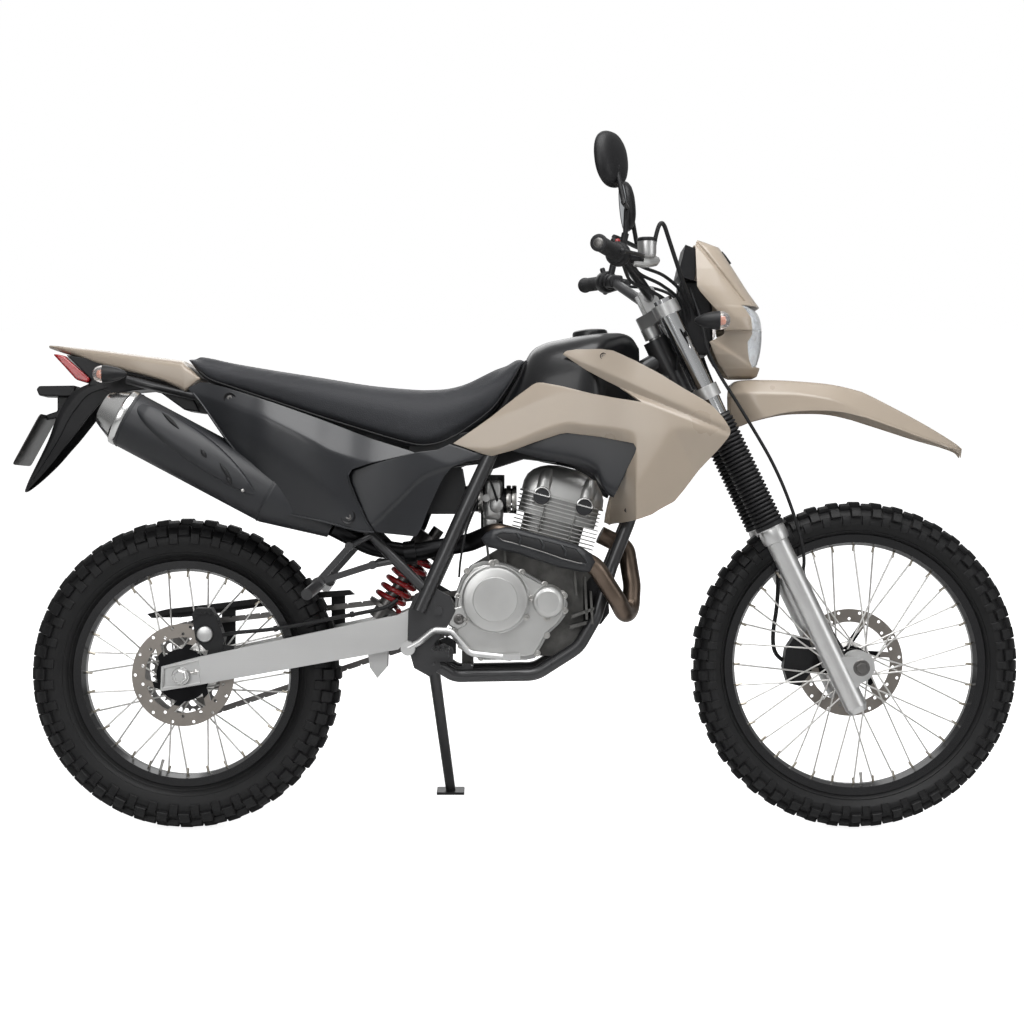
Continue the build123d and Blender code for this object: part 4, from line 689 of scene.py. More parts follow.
def line_at(x, points):
    """The height of a crease at each x, along a smooth line through its points."""
    smooth = along(points, 200)
    return np.interp(x, smooth[:, 0], smooth[:, 1])


def beside(x, z, a, b):
    """Distance of a point to the left of the line from a to b, as seen with x to the right and z up."""
    (ax, az), (bx, bz) = a, b
    return ((bx - ax) * (z - az) - (bz - az) * (x - ax)) / np.hypot(bx - ax, bz - az)


def skin(grid, wall):
    """A right-hand skin: the side view grid stood out to the right by its wall, its faces turned outward."""
    x, z = grid[..., 0], grid[..., 1]
    points = np.stack([x, -wall(x, z), z], -1)
    return points.reshape(-1, 3), [cells(*grid.shape[:2])[:, ::-1]]


# %% The greige shrouds
shroud_line = [(560, 120), (660, 140), (750, 153), (850, 168), (950, 198), (1050, 213), (1100, 210), (1160, 198)]


def shroud_wall(x, z):
    """The shroud's wall less its folds: lower crease, lamp-side ridge, the leg's corner and the arm's underside."""
    crease = line_at(x, [(560, 812), (650, 806), (700, 820), (798, 856), (850, 853), (900, 847), (950, 842),
                         (1000, 838),
                         (1130, 832), (1160, 831)])
    ridge = line_at(x, [(560, 830), (700, 885), (800, 925), (870, 919), (1000, 893), (1140, 846), (1160, 838)])
    reach = np.clip((x - 905.0) / 45.0, 0.0, 1.0)
    leg = np.minimum(-beside(x, z, (893, 640), (995, 800)), crease - z + 12.0)
    under = np.minimum(beside(x, z, (1020, 906), (815, 1001)), beside(x, z, (962, 905), (1020, 882)) * 1.4)
    out = line_at(x, shroud_line) - 0.10 * ramp(z - crease, 8.0) - 0.18 * ramp(z - ridge, 6.0)
    out -= (1 - reach) * 0.85 * ramp(crease - z, 3.0) + reach * 0.34 * ramp(leg, 4.0)
    return out - 0.75 * ramp(under, 3.0)


m_arm, n_front = 26, 44
rear_arm = patch([(572, 820), (630, 799), (652, 793), (700, 806), (740, 821), (795, 839), (810, 841), (880, 832),
                  (945, 818)],
                 [(572, 820), (610, 846), (650, 874), (700, 914), (738, 942), (748, 946.5), (760, 946), (800, 938),
                  (860, 922), (915, 911), (962, 903)], n=100, m=m_arm)
upper_arm = patch([(801, 1006), (818, 994), (850, 972), (880, 955), (930, 928), (962, 903)],
                  [(801, 1006), (808, 1013), (830, 1016), (880, 1016), (905, 1012), (950, 990), (1000, 962),
                   (1050, 930)],
                  front=[(962, 903), (1050, 930)], n=70, m=n_front)
front_block = patch([(945, 818), (1118, 803)], [(962, 903), (1050, 930)],
                    front=[(1118, 803), (1138, 827), (1144, 836), (1145, 843), (1142, 851), (1130, 870), (1110, 893),
                           (1090, 907), (1050, 930)], n=n_front, m=m_arm)
leg = patch([(893, 654), (903, 650)], [(945, 818), (1118, 803)],
            rear=[(893, 654), (896, 672), (905, 705), (930, 758), (948, 797), (951, 808), (945, 818)],
            front=[(903, 650), (930, 655), (960, 663), (985, 672), (1000, 682), (1030, 698), (1050, 722), (1080, 762),
                   (1118, 803)], n=n_front, m=56)
shroud_skin = gather(*[skin(part, shroud_wall) for part in (rear_arm, upper_arm, front_block, leg)])
walled(piece("shroud_skins", both(shroud_skin), greige, "chassis", ("shrouds",), sharp=60.0,
             outward=False),
       3.2, 0.0009)

# %% [markdown]
# The black infill below each shroud, the side covers and the rear panels are the same kind of
# moulding with their own folds. A rear panel swells over the silencer, has a bright ridge below
# the seat, and ends in a rolled lip; a side cover has a lower field set in by a few millimetres.

# %% Black panels
def infill_wall(x, z):
    """The infill between shroud and engine, turned under at its lower edge."""
    low = line_at(x, [(680, 806), (760, 790), (830, 776), (868, 758), (893, 716), (960, 700)])
    return line_at(x, [(680, 116), (760, 134), (850, 148), (960, 174)]) - 0.9 * ramp(low + 10.0 - z, 5.0)


def cover_wall(x, z):
    """The side cover: a fold from its top corner, and a lower field set in behind a soft step."""
    step = line_at(x, [(350, 610), (410, 652), (450, 690), (475, 715), (500, 740), (530, 757), (600, 781),
                       (650, 800)])
    fold = beside(x, z, (500, 800), (575, 768))
    out = line_at(x, [(350, 160), (430, 163), (500, 160), (650, 142)]) - 0.35 * ramp(fold, 4.0)
    return out - 2.6 * (1 + np.tanh((step - z) / 3.0)) - 0.12 * ramp(step - z, 10.0)


def rear_wall(x, z):
    """The rear panel: folded in above its ridge, full below it, hollow towards its lower front edge."""
    ridge = line_at(x, [(0, 934), (25, 928), (110, 899), (200, 865), (280, 826), (330, 800), (420, 775), (520, 760)])
    belly = line_at(x, [(0, 890), (80, 868), (200, 800), (300, 730), (345, 690), (420, 640)])
    out = line_at(x, [(0, 122), (50, 142), (100, 168), (150, 186), (200, 201), (280, 206), (350, 195), (420, 170),
                      (500, 157)])
    return out - 0.62 * ramp(z - ridge, 5.0) - 0.26 * ramp(belly - z, 22.0) - 0.05 * ramp(ridge - z, 30.0)


infill = patch([(690, 806), (725, 796), (760, 786), (800, 779), (830, 772), (852, 762), (868, 751), (880, 732),
                (893, 713),
                (906, 706)],
               [(690, 806), (700, 813), (740, 826), (795, 845), (810, 848), (880, 840), (948, 826), (958, 812)],
               front=[(906, 706), (933, 764), (958, 812)], n=70, m=26)
cover = patch([(412, 636), (430, 632), (470, 628), (495, 625)],
              [(366, 762), (400, 774), (500, 801), (540, 806), (565, 818), (602, 806), (640, 792)],
              rear=[(412, 636), (396, 660), (376, 705), (362, 738), (360, 752), (366, 762)],
              front=[(495, 625), (505, 640), (520, 680), (545, 735), (555, 752), (568, 768), (600, 781), (640, 792)],
              n=70, m=60)
rear_low = [(19, 932), (30, 924), (50, 900), (75, 865), (100, 830), (150, 765), (200, 697), (212, 682), (228, 673),
            (250, 668),
            (300, 658), (350, 645), (380, 637), (408, 635)]
rear_front = [(408, 635), (394, 658), (374, 703), (360, 738), (357, 752), (364, 764), (400, 777), (493, 800)]
rear_side = patch(rear_low, [(19, 937), (45, 948), (60, 946), (100, 935), (200, 903), (300, 868), (400, 830),
                             (480, 805),
                             (493, 800)], front=rear_front, n=110, m=64)
for name, grid, wall, node in (("infill_skins", infill, infill_wall, "tank_side_panels"),
                               ("side_cover_skins", cover, cover_wall, "side_covers"),
                               ("rear_panel_skins", rear_side, rear_wall, "rear_panels")):
    walled(piece(name, both(skin(grid, wall)), black_panel, "chassis", (node,), sharp=60.0,
                 outward=False),
           3.0, 0.0009)


def lip(points, wall, radius, steps=80, body="chassis", name="lip", material=black_panel):
    """A rolled lip: a thin bead carried along an edge of a panel, a little outside its wall."""
    run = edge(points, steps)
    path = np.stack([run[:, 0], -wall(run[:, 0], run[:, 1]) - 0.3, run[:, 1]], -1)
    return piece(name, both(pipe(path, radius, 10)), material, body)


# %% [markdown]
# The rear panels turn inward along their tops and run under the seat, so that no daylight shows
# between them from above. The turned edge is one grid: across it, a straight line from the
# panel's wall to a place under the seat; along it, the panel's own top line.

# %% The turned-in tops of the rear panels
top_x = np.linspace(48.0, 488.0, 80)[:, None]
top_z = np.interp(top_x, [45, 60, 100, 200, 300, 400, 480, 493], [948, 946, 935, 903, 868, 830, 805, 800])
under_seat_y = np.interp(top_x, [60, 187, 290, 392, 480], [70, 84, 92, 90, 84])
inward = np.linspace(0.0, 1.0, 9)[None, :]
tops = np.stack(np.broadcast_arrays(top_x, -(rear_wall(top_x, top_z) * (1 - inward) + under_seat_y * inward),
                                    top_z - 1.0 - 3.0 * inward), -1)
walled(piece("rear_panel_tops", both((tops.reshape(-1, 3), [cells(80, 9)[:, ::-1]])), black_panel, "chassis",
             sharp=60.0, outward=False), 2.0, 0.0006)
lip(rear_low[1:], rear_wall, 2.6, name="rear_panel_lips")
lip(rear_front[:-2], rear_wall, 1.6, name="rear_panel_front_lips")

# %% [markdown]
# ## Tank, tail and mudguard
# The tank, the tail cowl and the mudguard are bodies whose section changes slowly along the
# motorcycle. Each station is a superellipse with its own width, its own squareness above and
# below, and its widest point where the eye expects it; a smooth line through the table of
# stations fills in the rest.

# %% Bodies from stations
def stations(table, steps, sides=64):
    """Rings |cos|^(2/e) by |sin|^(2/e) from rows of x, low, high, half width, widest z, e above, e below."""
    row = along(table, steps)[:, None, :]
    x, low, high, half, widest, over, under = [row[..., k] for k in range(7)]
    turn = np.linspace(0, 2 * np.pi, sides, endpoint=False)[None]
    c, s = np.cos(turn), np.sin(turn)
    e = np.where(s >= 0, over, under)
    y = half * np.sign(c) * np.abs(c) ** (2 / e)
    z = widest + np.where(s >= 0, high - widest, widest - low) * np.sign(s) * np.abs(s) ** (2 / e)
    return np.stack([np.broadcast_to(x, y.shape), y, z], -1)


tank_table = [(656, 836, 862, 70, 850, 2.4, 3), (684, 818, 920, 88, 860, 2.4, 3), (708, 810, 962, 106, 872, 2.5, 4),
              (733, 807, 1016, 119, 886, 2.6, 4), (762, 807, 1036, 128, 896, 2.8, 4),
              (804, 810, 1046, 137, 902, 3.0, 4),
              (850, 822, 1054, 141, 908, 3.2, 4), (884, 843, 1058, 127, 916, 3.2, 4),
              (908, 868, 1060, 94, 926, 3.0, 4),
              (932, 902, 1059, 60, 945, 2.8, 4), (952, 932, 1050, 42, 965, 2.5, 4), (967, 972, 1028, 27, 992, 2.3, 4)]
soften(piece("tank_body", sections(stations(tank_table, 64)), tank_black, "chassis", ("fuel_tank",),
             sharp=50.0))
cap_profile = [(0.0, 17.5), (14.0, 17.5), (22.0, 16.6), (33.0, 15.0), (36.5, 12.5), (38.0, 8.0), (38.0, -4.0),
               (0.0, -4.0)]
piece("filler_cap", turned(cap_profile, (863, 0, 1051), (-0.06, 0, 1), 64), tank_black, "chassis",
      ("tank_cap",))

tail_table = [(-296, 1027, 1034, 14, 1031, 2.0, 2), (-270, 1018, 1032, 34, 1026, 2.3, 3),
              (-235, 1007, 1028, 50, 1018, 2.6, 4),
              (-180, 990, 1022, 66, 1004, 3.4, 6), (-110, 972, 1012.5, 80, 988, 4.0, 7),
              (-50, 955, 1004.5, 88, 973, 4.5, 8),
              (-14, 940, 999.5, 93, 962, 5.0, 8), (0, 932, 997, 95, 958, 5.0, 8), (7, 929, 989, 96, 955, 5.0, 8),
              (20, 939, 977, 97, 957, 5.0, 8), (31, 949, 966, 97, 957.5, 4.5, 8), (38, 955, 960, 96, 957.5, 4.0, 6)]
soften(piece("tail_body", sections(stations(tail_table, 56)), greige, "chassis", ("tail_cowl",),
             sharp=50.0))

# %% [markdown]
# ## The seat
# The seat is one long foam pad under stretched vinyl, high against the tank and dipped where the
# rider sits. It is drawn a few millimetres slim, remeshed to even squares and blown up by a short
# cloth run with gravity off, which crowns its top and rounds its shoulders as packed foam does.
# No point may travel more than a few millimetres, so it stays between the panels. The cover's
# welt is laid along the foot of the pad afterwards, because remeshing would swallow it.

# %% The slim pad
seat_rows = np.array([
    # x, low, high, half width, widest, over, under
    (5, 1003, 1008, 82, 1005, 2.6, 3.0), (20, 990, 1006.5, 91, 997, 2.8, 3.5), (36, 970, 1005, 95, 984, 3.0, 4.0),
    (60, 952, 1001, 98, 970, 3.0, 4.5), (100, 938, 992, 101, 956, 3.0, 5.0), (187, 908, 977, 111, 930, 2.9, 5.0),
    (290, 872, 961, 119, 902, 2.8, 5.0), (392, 839, 945, 117, 876, 2.7, 5.0), (480, 813, 937, 112, 856, 2.6, 5.0),
    (520, 810, 936, 108, 853, 2.6, 5.0), (560, 822, 939, 99, 862, 2.6, 4.5), (600, 847, 950, 90, 882, 2.6, 4.0),
    (650, 887, 976, 80, 916, 2.6, 3.6), (680, 927, 996, 74, 950, 2.5, 3.2), (700, 960, 1009, 70, 978, 2.4, 3.0),
    (713, 986, 1010, 63, 996, 2.3, 2.6), (719, 998, 1007, 54, 1002, 2.2, 2.2)], float)
seat_slim = seat_rows.copy()
seat_slim[:, 2] -= 3.5
seat_slim[:, 3] -= 3.0
seat = piece("seat_pad", sections(stations(seat_slim, 90, 72)), vinyl, "chassis", ("seat",),
             sharp=180.0)


# %% Stuffed by a short cloth run
def swollen(thing, voxel=0.0055, push=4.0, frames=20, cap=0.0055):
    """The thing's mesh blown up: remeshed, pressed from inside for some frames, and each point's travel capped."""
    remesh = thing.modifiers.new("even", "REMESH")
    remesh.mode, remesh.voxel_size = "VOXEL", voxel
    scene, view = bpy.context.scene, bpy.context.view_layer
    view.update()
    even = bpy.data.meshes.new_from_object(thing.evaluated_get(bpy.context.evaluated_depsgraph_get()))
    thing.modifiers.remove(remesh)
    before = np.empty(len(even.vertices) * 3)
    even.vertices.foreach_get("co", before)
    before = before.reshape(-1, 3)
    thing.data = even
    cloth = thing.modifiers.new("stuffing", "CLOTH")
    cloth.settings.quality, cloth.settings.mass = 5, 0.2
    cloth.settings.use_pressure, cloth.settings.uniform_pressure_force = True, push
    cloth.settings.effector_weights.gravity = 0.0
    cloth.point_cache.frame_start, cloth.point_cache.frame_end = 1, frames
    for step in range(1, frames + 1):
        scene.frame_set(step)
    blown = bpy.data.meshes.new_from_object(thing.evaluated_get(bpy.context.evaluated_depsgraph_get()))
    after = np.empty(len(blown.vertices) * 3)
    blown.vertices.foreach_get("co", after)
    thing.modifiers.remove(cloth)
    scene.frame_set(1)
    travel = after.reshape(-1, 3) - before
    length = np.linalg.norm(travel, axis=1)[:, None]
    even.vertices.foreach_set("co", (before + travel * np.minimum(1.0, cap / np.maximum(length, 1e-9))).ravel())
    even.materials.clear()
    even.materials.append(vinyl)
    even.update()
    even.shade_smooth()
    print(thing.name, "moved", round(1000 * float(length.max()), 1), "mm at most before its cap")


swollen(seat)
fullness = seat.modifiers.new("fullness", "SUBSURF")
fullness.levels = fullness.render_levels = 1

# %% The rubber behind its nose and the welt along its foot
nose = [(600, 826), (640, 866), (672, 903), (690, 936), (708, 966), (722, 999), (735, 996), (724, 960), (708, 922),
        (692, 888),
        (664, 850), (620, 818)]
under_seat = [(470, 796), (560, 806), (640, 798), (700, 812), (700, 838), (600, 846), (540, 832), (480, 822)]


def plate(outline, y0, y1):
    """A flat plate: a side-view outline carried from one y to another, closed by its two faces."""
    p = np.asarray(outline, float)
    rings = np.stack([np.stack([p[:, 0], np.full(len(p), y), p[:, 1]], -1) for y in (y0, y1)])
    return sections(rings)


soften(piece("nose_rubber", gather(plate(nose, -58, 58), plate(under_seat, -84, 84)), soft_rubber, "chassis",
             sharp=30.0), 0.003, 30.0, 2)
foot = along(seat_rows[2:-1, [0, 3, 1, 4]], 160)
welt = np.stack([foot[:, 0], -(foot[:, 1] * 0.955 + 1.0), foot[:, 2] + 0.18 * (foot[:, 3] - foot[:, 2])], -1)
piece("seat_welt", both(pipe(welt, 2.0, 10)), soft_rubber, "chassis")

# %% [markdown]
# ## Headlight cowl and front fender
# The cowl wraps the lamp like a mask: in plan every height of it is a U, boxy at the shoulders
# and rounder below. Folds stand in its sides where the mould turns: a long one running down
# towards the lamp, a cheek below it, and the groove that sets the front screen off. The clear
# lens closes the opening, and a bright bowl with a bulb cap sits behind it.

# %% The cowl's surface
cowl_rows = np.array([
    # z, rear x, front x, half width, squareness
    (961.5, 1160, 1210, 50, 2.2), (966, 1153, 1220, 64, 2.3), (980, 1142, 1225, 80, 2.5), (993, 1131, 1226, 89, 2.6),
    (1010, 1123, 1226, 98, 2.7), (1036, 1112, 1227, 104, 2.7), (1044, 1128, 1227, 106, 2.7),
                      (1052, 1143, 1227, 107, 2.7),
    (1086, 1139, 1229, 107, 2.7), (1106, 1121, 1227, 106, 2.7), (1114, 1113, 1222, 105, 2.7),
                      (1140, 1091, 1203, 102, 2.8),
    (1152, 1084, 1195, 100, 2.8), (1190, 1083.5, 1171, 90, 2.8), (1225, 1083, 1149, 76, 2.7),
                      (1240, 1083.5, 1139, 66, 2.6),
    (1250, 1086, 1112, 56, 2.4), (1254.5, 1089, 1098, 44, 2.2)], float)


def cowl_at(z, share):
    """A point of the cowl: from the rear edge, share 0, round to the middle of the front, share 1, on the right."""
    rear, front, half, square = [np.interp(z, cowl_rows[:, 0], cowl_rows[:, k]) for k in range(1, 5)]
    turn = share * np.pi / 2
    x = rear + (front - rear) * np.sin(turn) ** (2 / square)
    y = half * np.cos(turn) ** (2 / square)
    brow = -beside(x, z, (1092, 1152), (1196, 1060))
    cheek = beside(x, z, (1128, 1036), (1204, 988))
    groove = np.exp(-(beside(x, z, (1104, 1224), (1170, 1138)) / 3.0) ** 2) * (z > 1120)
    y = y - 0.36 * ramp(brow, 4.0) * (1 - share ** 2) + 0.22 * ramp(brow - 62.0, 6.0) * (1 - share ** 2)
    y = y - (6.5 + 6.5 * np.tanh((cheek + 2.0) / 3.5)) * (z < 1060) * np.clip(1 - share * 1.3, 0, 1)
    y = y - 6.0 * groove * (share < 0.75)
    return np.stack([x, -np.maximum(y, 0.0), z + 0.0 * x], -1)


def cowl_part(low, high, shares, rows):
    """The right half of the cowl between two heights, out to a share that may differ from row to row."""
    z = np.linspace(low, high, rows)[:, None]
    reach = np.broadcast_to(np.asarray(shares, float), (rows,))[:, None]
    grid = cowl_at(z, reach * np.linspace(0, 1, 72)[None] ** 0.8)
    return grid.reshape(-1, 3), [cells(rows, 72)]


lamp_edge = [(986, 0.50), (1000, 0.44), (1016, 0.42), (1045, 0.43), (1075, 0.40), (1106, 0.33), (1112, 0.31)]
heights = np.linspace(984, 1112, 70)
shares_at = np.interp(heights, *np.array(lamp_edge).T)
crown = cowl_part(1112, 1254.5, 1.0, 80)
chin = cowl_part(961.5, 984, 1.0, 14)
cheeks = cowl_part(984, 1112, shares_at, 70)
walled(piece("cowl_shell", both(gather(crown, cheeks, chin)), greige, "steering_head",
             ("headlight_cowl",), sharp=50.0), 3.0, 0.0009)

# %% Lens, bowl and bulb cap
def bulged(z, across, front, back=0.0):
    """The lens between the cowl's two lamp edges: straight across, plus a bulge that falls to nothing at the edge."""
    side = cowl_at(z, np.interp(z, heights, shares_at))
    round_off = np.clip(1 - across ** 2, 0, 1) ** 0.5 * np.clip(1 - ((z - 1048) / 68.0) ** 2, 0, 1) ** 0.33
    x = side[..., 0] - 2.0 + (front - side[..., 0]) * round_off - back
    return np.stack([x, side[..., 1] * across, z + 0 * x], -1)


z, across = np.meshgrid(np.linspace(985, 1111, 48), np.linspace(-1, 1, 49), indexing="ij")
glass = bulged(z, across, 1231.5)
walled(piece("headlight_lens", (glass.reshape(-1, 3), [cells(48, 49)]), lamp_glass, "steering_head",
             ("headlight_lens",), sharp=60.0), 2.6, 0.0006)
bowl_line = [(4, -24), (12, -24), (26, -19), (40, -8), (52, 8), (57, 20), (58.5, 20), (54, 6), (42, -11), (27, -22),
             (4, -27)]
piece("lamp_bowl", turned(bowl_line, (1176, 0, 1046), (1, 0, 0), 96), reflector, "steering_head")
piece("bulb_cap", turned([(0, 16), (8, 14), (12, 8), (13, 0), (13, -12), (0, -12)], (1180, 0, 1046), (1, 0, 0), 32),
      bright_alloy, "steering_head")
side_z = np.linspace(990, 1106, 40)
inner = cowl_at(side_z, np.interp(side_z, heights, shares_at) * 0.98)
band = np.stack([inner * [1, 0.97, 1] - [4, 0, 0], np.stack([inner[:, 0] - 34, inner[:, 1] * 0.55, inner[:, 2]],
                                                            -1)], 1)
walled(piece("lamp_lining", both((band.reshape(-1, 3), [cells(40, 2)])), reflector, "steering_head"),
       1.2, 0.0003)

shelf = [(1058, 1010), (1112, 1010), (1122, 1040), (1120, 1120), (1092, 1168), (1052, 1168), (1046, 1060)]
soften(piece("lamp_bracket", plate(shelf, -52, 52), black_part, "steering_head", sharp=30.0), 0.006,
       30.0, 3)
# Dark rubber tubes along the two slots near the top of the cowl's front: painted shade for the inside of the open
# slots.
slot_edge = [(1139, 1228), (1146, 1220), (1158, 1203)]
slot_shade_lines = [np.stack([np.interp(np.linspace(0, 1, 20), [0, 0.5, 1], [p[0] for p in slot_edge]) + 1.0, np.full(20, y),
                       np.interp(np.linspace(0, 1, 20), [0, 0.5, 1], [p[1] for p in slot_edge]) + 1.0],
                      -1) for y in (-34, 34)]
piece("cowl_slot_shade", gather(*[pipe(line, 4.5, 10) for line in slot_shade_lines]), soft_rubber, "steering_head")

# %% The fender
fender_rows = np.array([
    # x, top, crease, bottom, half width
    (1161, 949, 925, 862, 60), (1175, 957, 927, 857, 68), (1204, 960, 927, 868, 80), (1250, 960, 926, 881, 84),
    (1296, 958, 924.6, 889, 85), (1356, 953, 916, 890.5, 85), (1394, 947, 906, 887, 83), (1430, 938, 889, 879, 80),
    (1447, 932, 880, 875, 78), (1500, 906, 862, 857, 68), (1560, 875, 840, 837, 54), (1610, 847, 824, 822, 38),
    (1645, 825, 813.5, 812.5, 21), (1656.5, 816, 812.5, 812.0, 8)], float)
f_row = along(fender_rows, 120)
f_x, f_top, f_crease, f_foot, f_half = f_row.T[:, :, None]
knots = np.array([0.0, 0.28, 0.36, 0.58, 0.63, 1.0])
s = np.linspace(0, 1, 44)[None]
levels = [f_top, f_top - 3.0, f_top - 5.5, f_crease + 2.0, f_crease - 2.0, f_foot]
wide = [0.0 * f_half, 0.52 * f_half, 0.62 * f_half, 0.945 * f_half, 0.965 * f_half, f_half]
at = np.clip(np.searchsorted(knots, s[0], side="right") - 1, 0, 4)
t = ((s[0] - knots[at]) / (knots[at + 1] - knots[at]))[None]
levels, wide = np.concatenate(levels, 1), np.concatenate(wide, 1)
f_z = levels[:, at] * (1 - t) + levels[:, at + 1] * t
f_y = wide[:, at] * (1 - t) + wide[:, at + 1] * t
behind = beside(f_x + 0 * f_z, f_z, (1224.6, 881.3), (1179, 951))
f_y = np.maximum(f_y - 0.42 * ramp(behind, 3.0) * (s > 0.3), 0.0)
fender_grid = np.stack([f_x + 0 * f_z, -f_y, f_z], -1)
walled(piece("fender_shell", both((fender_grid.reshape(-1, 3), [cells(120, 44)])), greige, "steering_head",
             ("front_fender",), sharp=40.0), 3.0, 0.0009)

# %% [markdown]
# ## The engine
# The cylinder leans forward, so its pieces are drawn in its own directions: a ahead along the
# fins, b up the bore. Cast fins are thin plates with rounded corners, each a superellipse. The
# head cover is a low dome with two bosses on its side, each round a dark pocket for a spark plug
# or a valve cap. The covers below are flat castings with filed edges, screwed down all round.

# %% The leaning cylinder
tilt = np.radians(14.7)


def bored(points):
    """Upright millimetres of points given as a along the fins, y to the left and b up the bore."""
    a, y, b = np.moveaxis(np.asarray(points, float), -1, 0)
    return np.stack([742 + a * np.cos(tilt) + b * np.sin(tilt), y, 520 - a * np.sin(tilt) + b * np.cos(tilt)], -1)


def slab(rows, sides=72):
    """A body up the bore from rows of b, middle a, half a, half y, squareness of its section."""
    row = np.asarray(rows, float)[:, None, :]
    b, mid, half_a, half_y, e = [row[..., k] for k in range(5)]
    turn = np.linspace(0, 2 * np.pi, sides, endpoint=False)[None]
    c, s = np.cos(turn), np.sin(turn)
    a = mid + half_a * np.sign(c) * np.abs(c) ** (2 / e)
    y = half_y * np.sign(s) * np.abs(s) ** (2 / e)
    return sections(bored(np.stack([a, y, b + 0 * a], -1)))


core = slab([(60, 6, 64, 58, 4), (150, 6, 66, 60, 4)])
head = slab([(148, 10, 84, 66, 4.5), (196, 10, 84, 66, 4.5)])
piece("cylinder_core", gather(core, head), cast_alloy, "chassis", ("cylinder",))
fins = [slab([(b, 12, 89, 75, 5), (b + 0.5, 12, 91.5, 78.5, 5), (b + 1.7, 12, 91.5, 78.5, 5),
              (b + 2.3, 12, 89, 75, 5)])
        for b in np.arange(78, 150, 8.4)]
fins += [slab([(b, 10, 88, 71, 5), (b + 0.5, 10, 90, 73, 5), (b + 2.0, 10, 90, 73, 5), (b + 2.6, 10, 88, 71, 5)])
         for b in (155, 163.5, 172, 180.5)]
posts = [slab([(112, a, 2.4, 79.4, 3), (166, a, 2.4, 79.4, 3)], 24) for a in (-21, 46)]
piece("cylinder_fins", gather(*fins, *posts), fin_alloy, "chassis", sharp=25.0)
cover_rows = [(190, 11, 92, 73, 5), (193, 11, 92, 73, 5), (194.5, 11, 89, 70, 5), (199, 11, 89, 70, 5),
              (213, 10, 88, 69, 4.2),
              (228, 8, 82, 66, 3.8), (240, 7, 72, 61, 3.4), (250, 7, 58, 53, 3.0), (257, 7, 42, 42, 2.6),
              (261, 7, 22, 26, 2.3)]
piece("head_cover", slab(cover_rows), cover_alloy, "chassis", sharp=30.0)
ears = [slab([(168, a, 21, 74, 3), (172, a, 23, 76.5, 3), (196, a, 23, 76.5, 3), (224, a, 22, 74, 3),
              (240, a, 18, 67, 2.8),
              (249, a, 12, 58, 2.5)], 48) for a in (-33, 60)]
piece("plug_bosses", gather(*ears), cover_alloy, "chassis", sharp=30.0)
for side in (-1, 1):
    pockets = [turned([(0, 77.2), (14.5, 77.2), (15.0, 78.4), (17.2, 78.4), (17.8, 76.0)], bored([a, 0, 188]),
                      (0, side, 0), 40)
               for a in (-33, 60)]
    piece("plug_pockets_" + ("left" if side > 0 else "right"), gather(*pockets), matte_black, "chassis")
lids = [bored(np.stack([a + 16.5 * np.cos(t), -78.6 + 0 * t, 190 + 16.5 * np.sin(t)], -1))
        for a in (-33, 60) for t in (np.linspace(0.0, np.pi, 24),)]
piece("pocket_lids", both(gather(*[pipe(np.concatenate([lid, lid[:1]]), 2.2, 10) for lid in lids])), bright_alloy,
      "chassis")

# %% Flat castings and their screws
def screws(spots, y, head=6.5, side=-1, deep=5.0):
    """Flanged screws with a socket, standing out of a face at each (x, z)."""
    line = [(0, 1.2), (head * 0.42, 1.2), (head * 0.42, deep - 0.6), (head * 0.55, deep), (head * 0.86, deep),
            (head, deep - 1.0), (head, 1.0), (head * 1.3, 0.6), (head * 1.3, -2.0)]
    one = turned(line, (0, 0, 0), (0, side, 0), 18)
    return repeated(one, np.eye(3), [(x, y, z) for x, z in spots])


right_case = [(568, 436), (572, 470), (578, 510), (588, 538), (609, 566), (634, 574), (661, 575), (690, 567),
              (722, 552),
              (760, 530), (797, 516), (806, 500), (813, 484), (807, 458), (793, 440), (771, 420), (757, 394),
              (744, 370),
              (725, 366), (636, 366), (604, 376), (584, 391), (570, 415)]
inner_case = [(x + (685 - x) * 0.05, z + (468 - z) * 0.07) for x, z in right_case]
soften(piece("right_case_cover", plate(right_case, -106, -84), cast_alloy, "chassis",
             ("engine_covers",), sharp=30.0), 0.003, 30.0, 3)
soften(piece("right_case_face", plate(inner_case, -112, -100), cover_alloy, "chassis", sharp=30.0),
       0.004, 30.0, 3)
rim_spots = [(578, 430), (583, 500), (600, 553), (661, 570), (716, 550), (764, 524), (800, 505), (806, 470),
             (768, 418),
             (748, 380), (690, 371), (630, 371), (588, 396)]
piece("case_screws", screws(rim_spots, -107, 5.5), zinc, "chassis")
clutch = [(0, 149.0), (45.5, 149.0), (46.8, 147.6), (48.2, 147.4), (60.0, 146.6), (65.5, 144.6), (68.6, 141.0),
          (69.5, 136.0),
          (69.5, 117.0), (72.5, 116.0), (73.0, 108.0)]
piece("clutch_cover", turned(clutch, (660, 0, 494), (0, -1, 0), 128), cover_alloy, "chassis",
      sharp=28.0)
small = [(0, 137.0), (22.5, 137.0), (24.0, 136.0), (29.0, 134.6), (32.0, 131.6), (33.2, 127.0), (33.2, 112.0),
         (36.0, 110.0),
         (36.0, 104.0)]
piece("filter_cover", turned(small, (771, 0, 489), (0, -1, 0), 96), cover_alloy, "chassis",
      sharp=28.0)
ring_spots = [(660 + 75 * np.cos(t), 494 + 75 * np.sin(t)) for t in np.radians([95, 215, 330])]
ring_spots += [(771 + 35 * np.cos(t), 489 + 35 * np.sin(t)) for t in np.radians([20, 170, 265])]
piece("cover_lugs", screws(ring_spots, -112, 6.0, deep=8.0), zinc, "chassis")
swell = [(560, 454), (566, 474), (590, 480), (604, 466), (600, 440), (580, 430), (563, 438)]
soften(piece("shift_boss", plate(swell, -118, -90), cover_alloy, "chassis", sharp=30.0), 0.003,
       30.0, 3)
piece("shift_bolt", screws([(584, 452)], -118, 9.0, deep=7.0), dark_steel, "chassis")
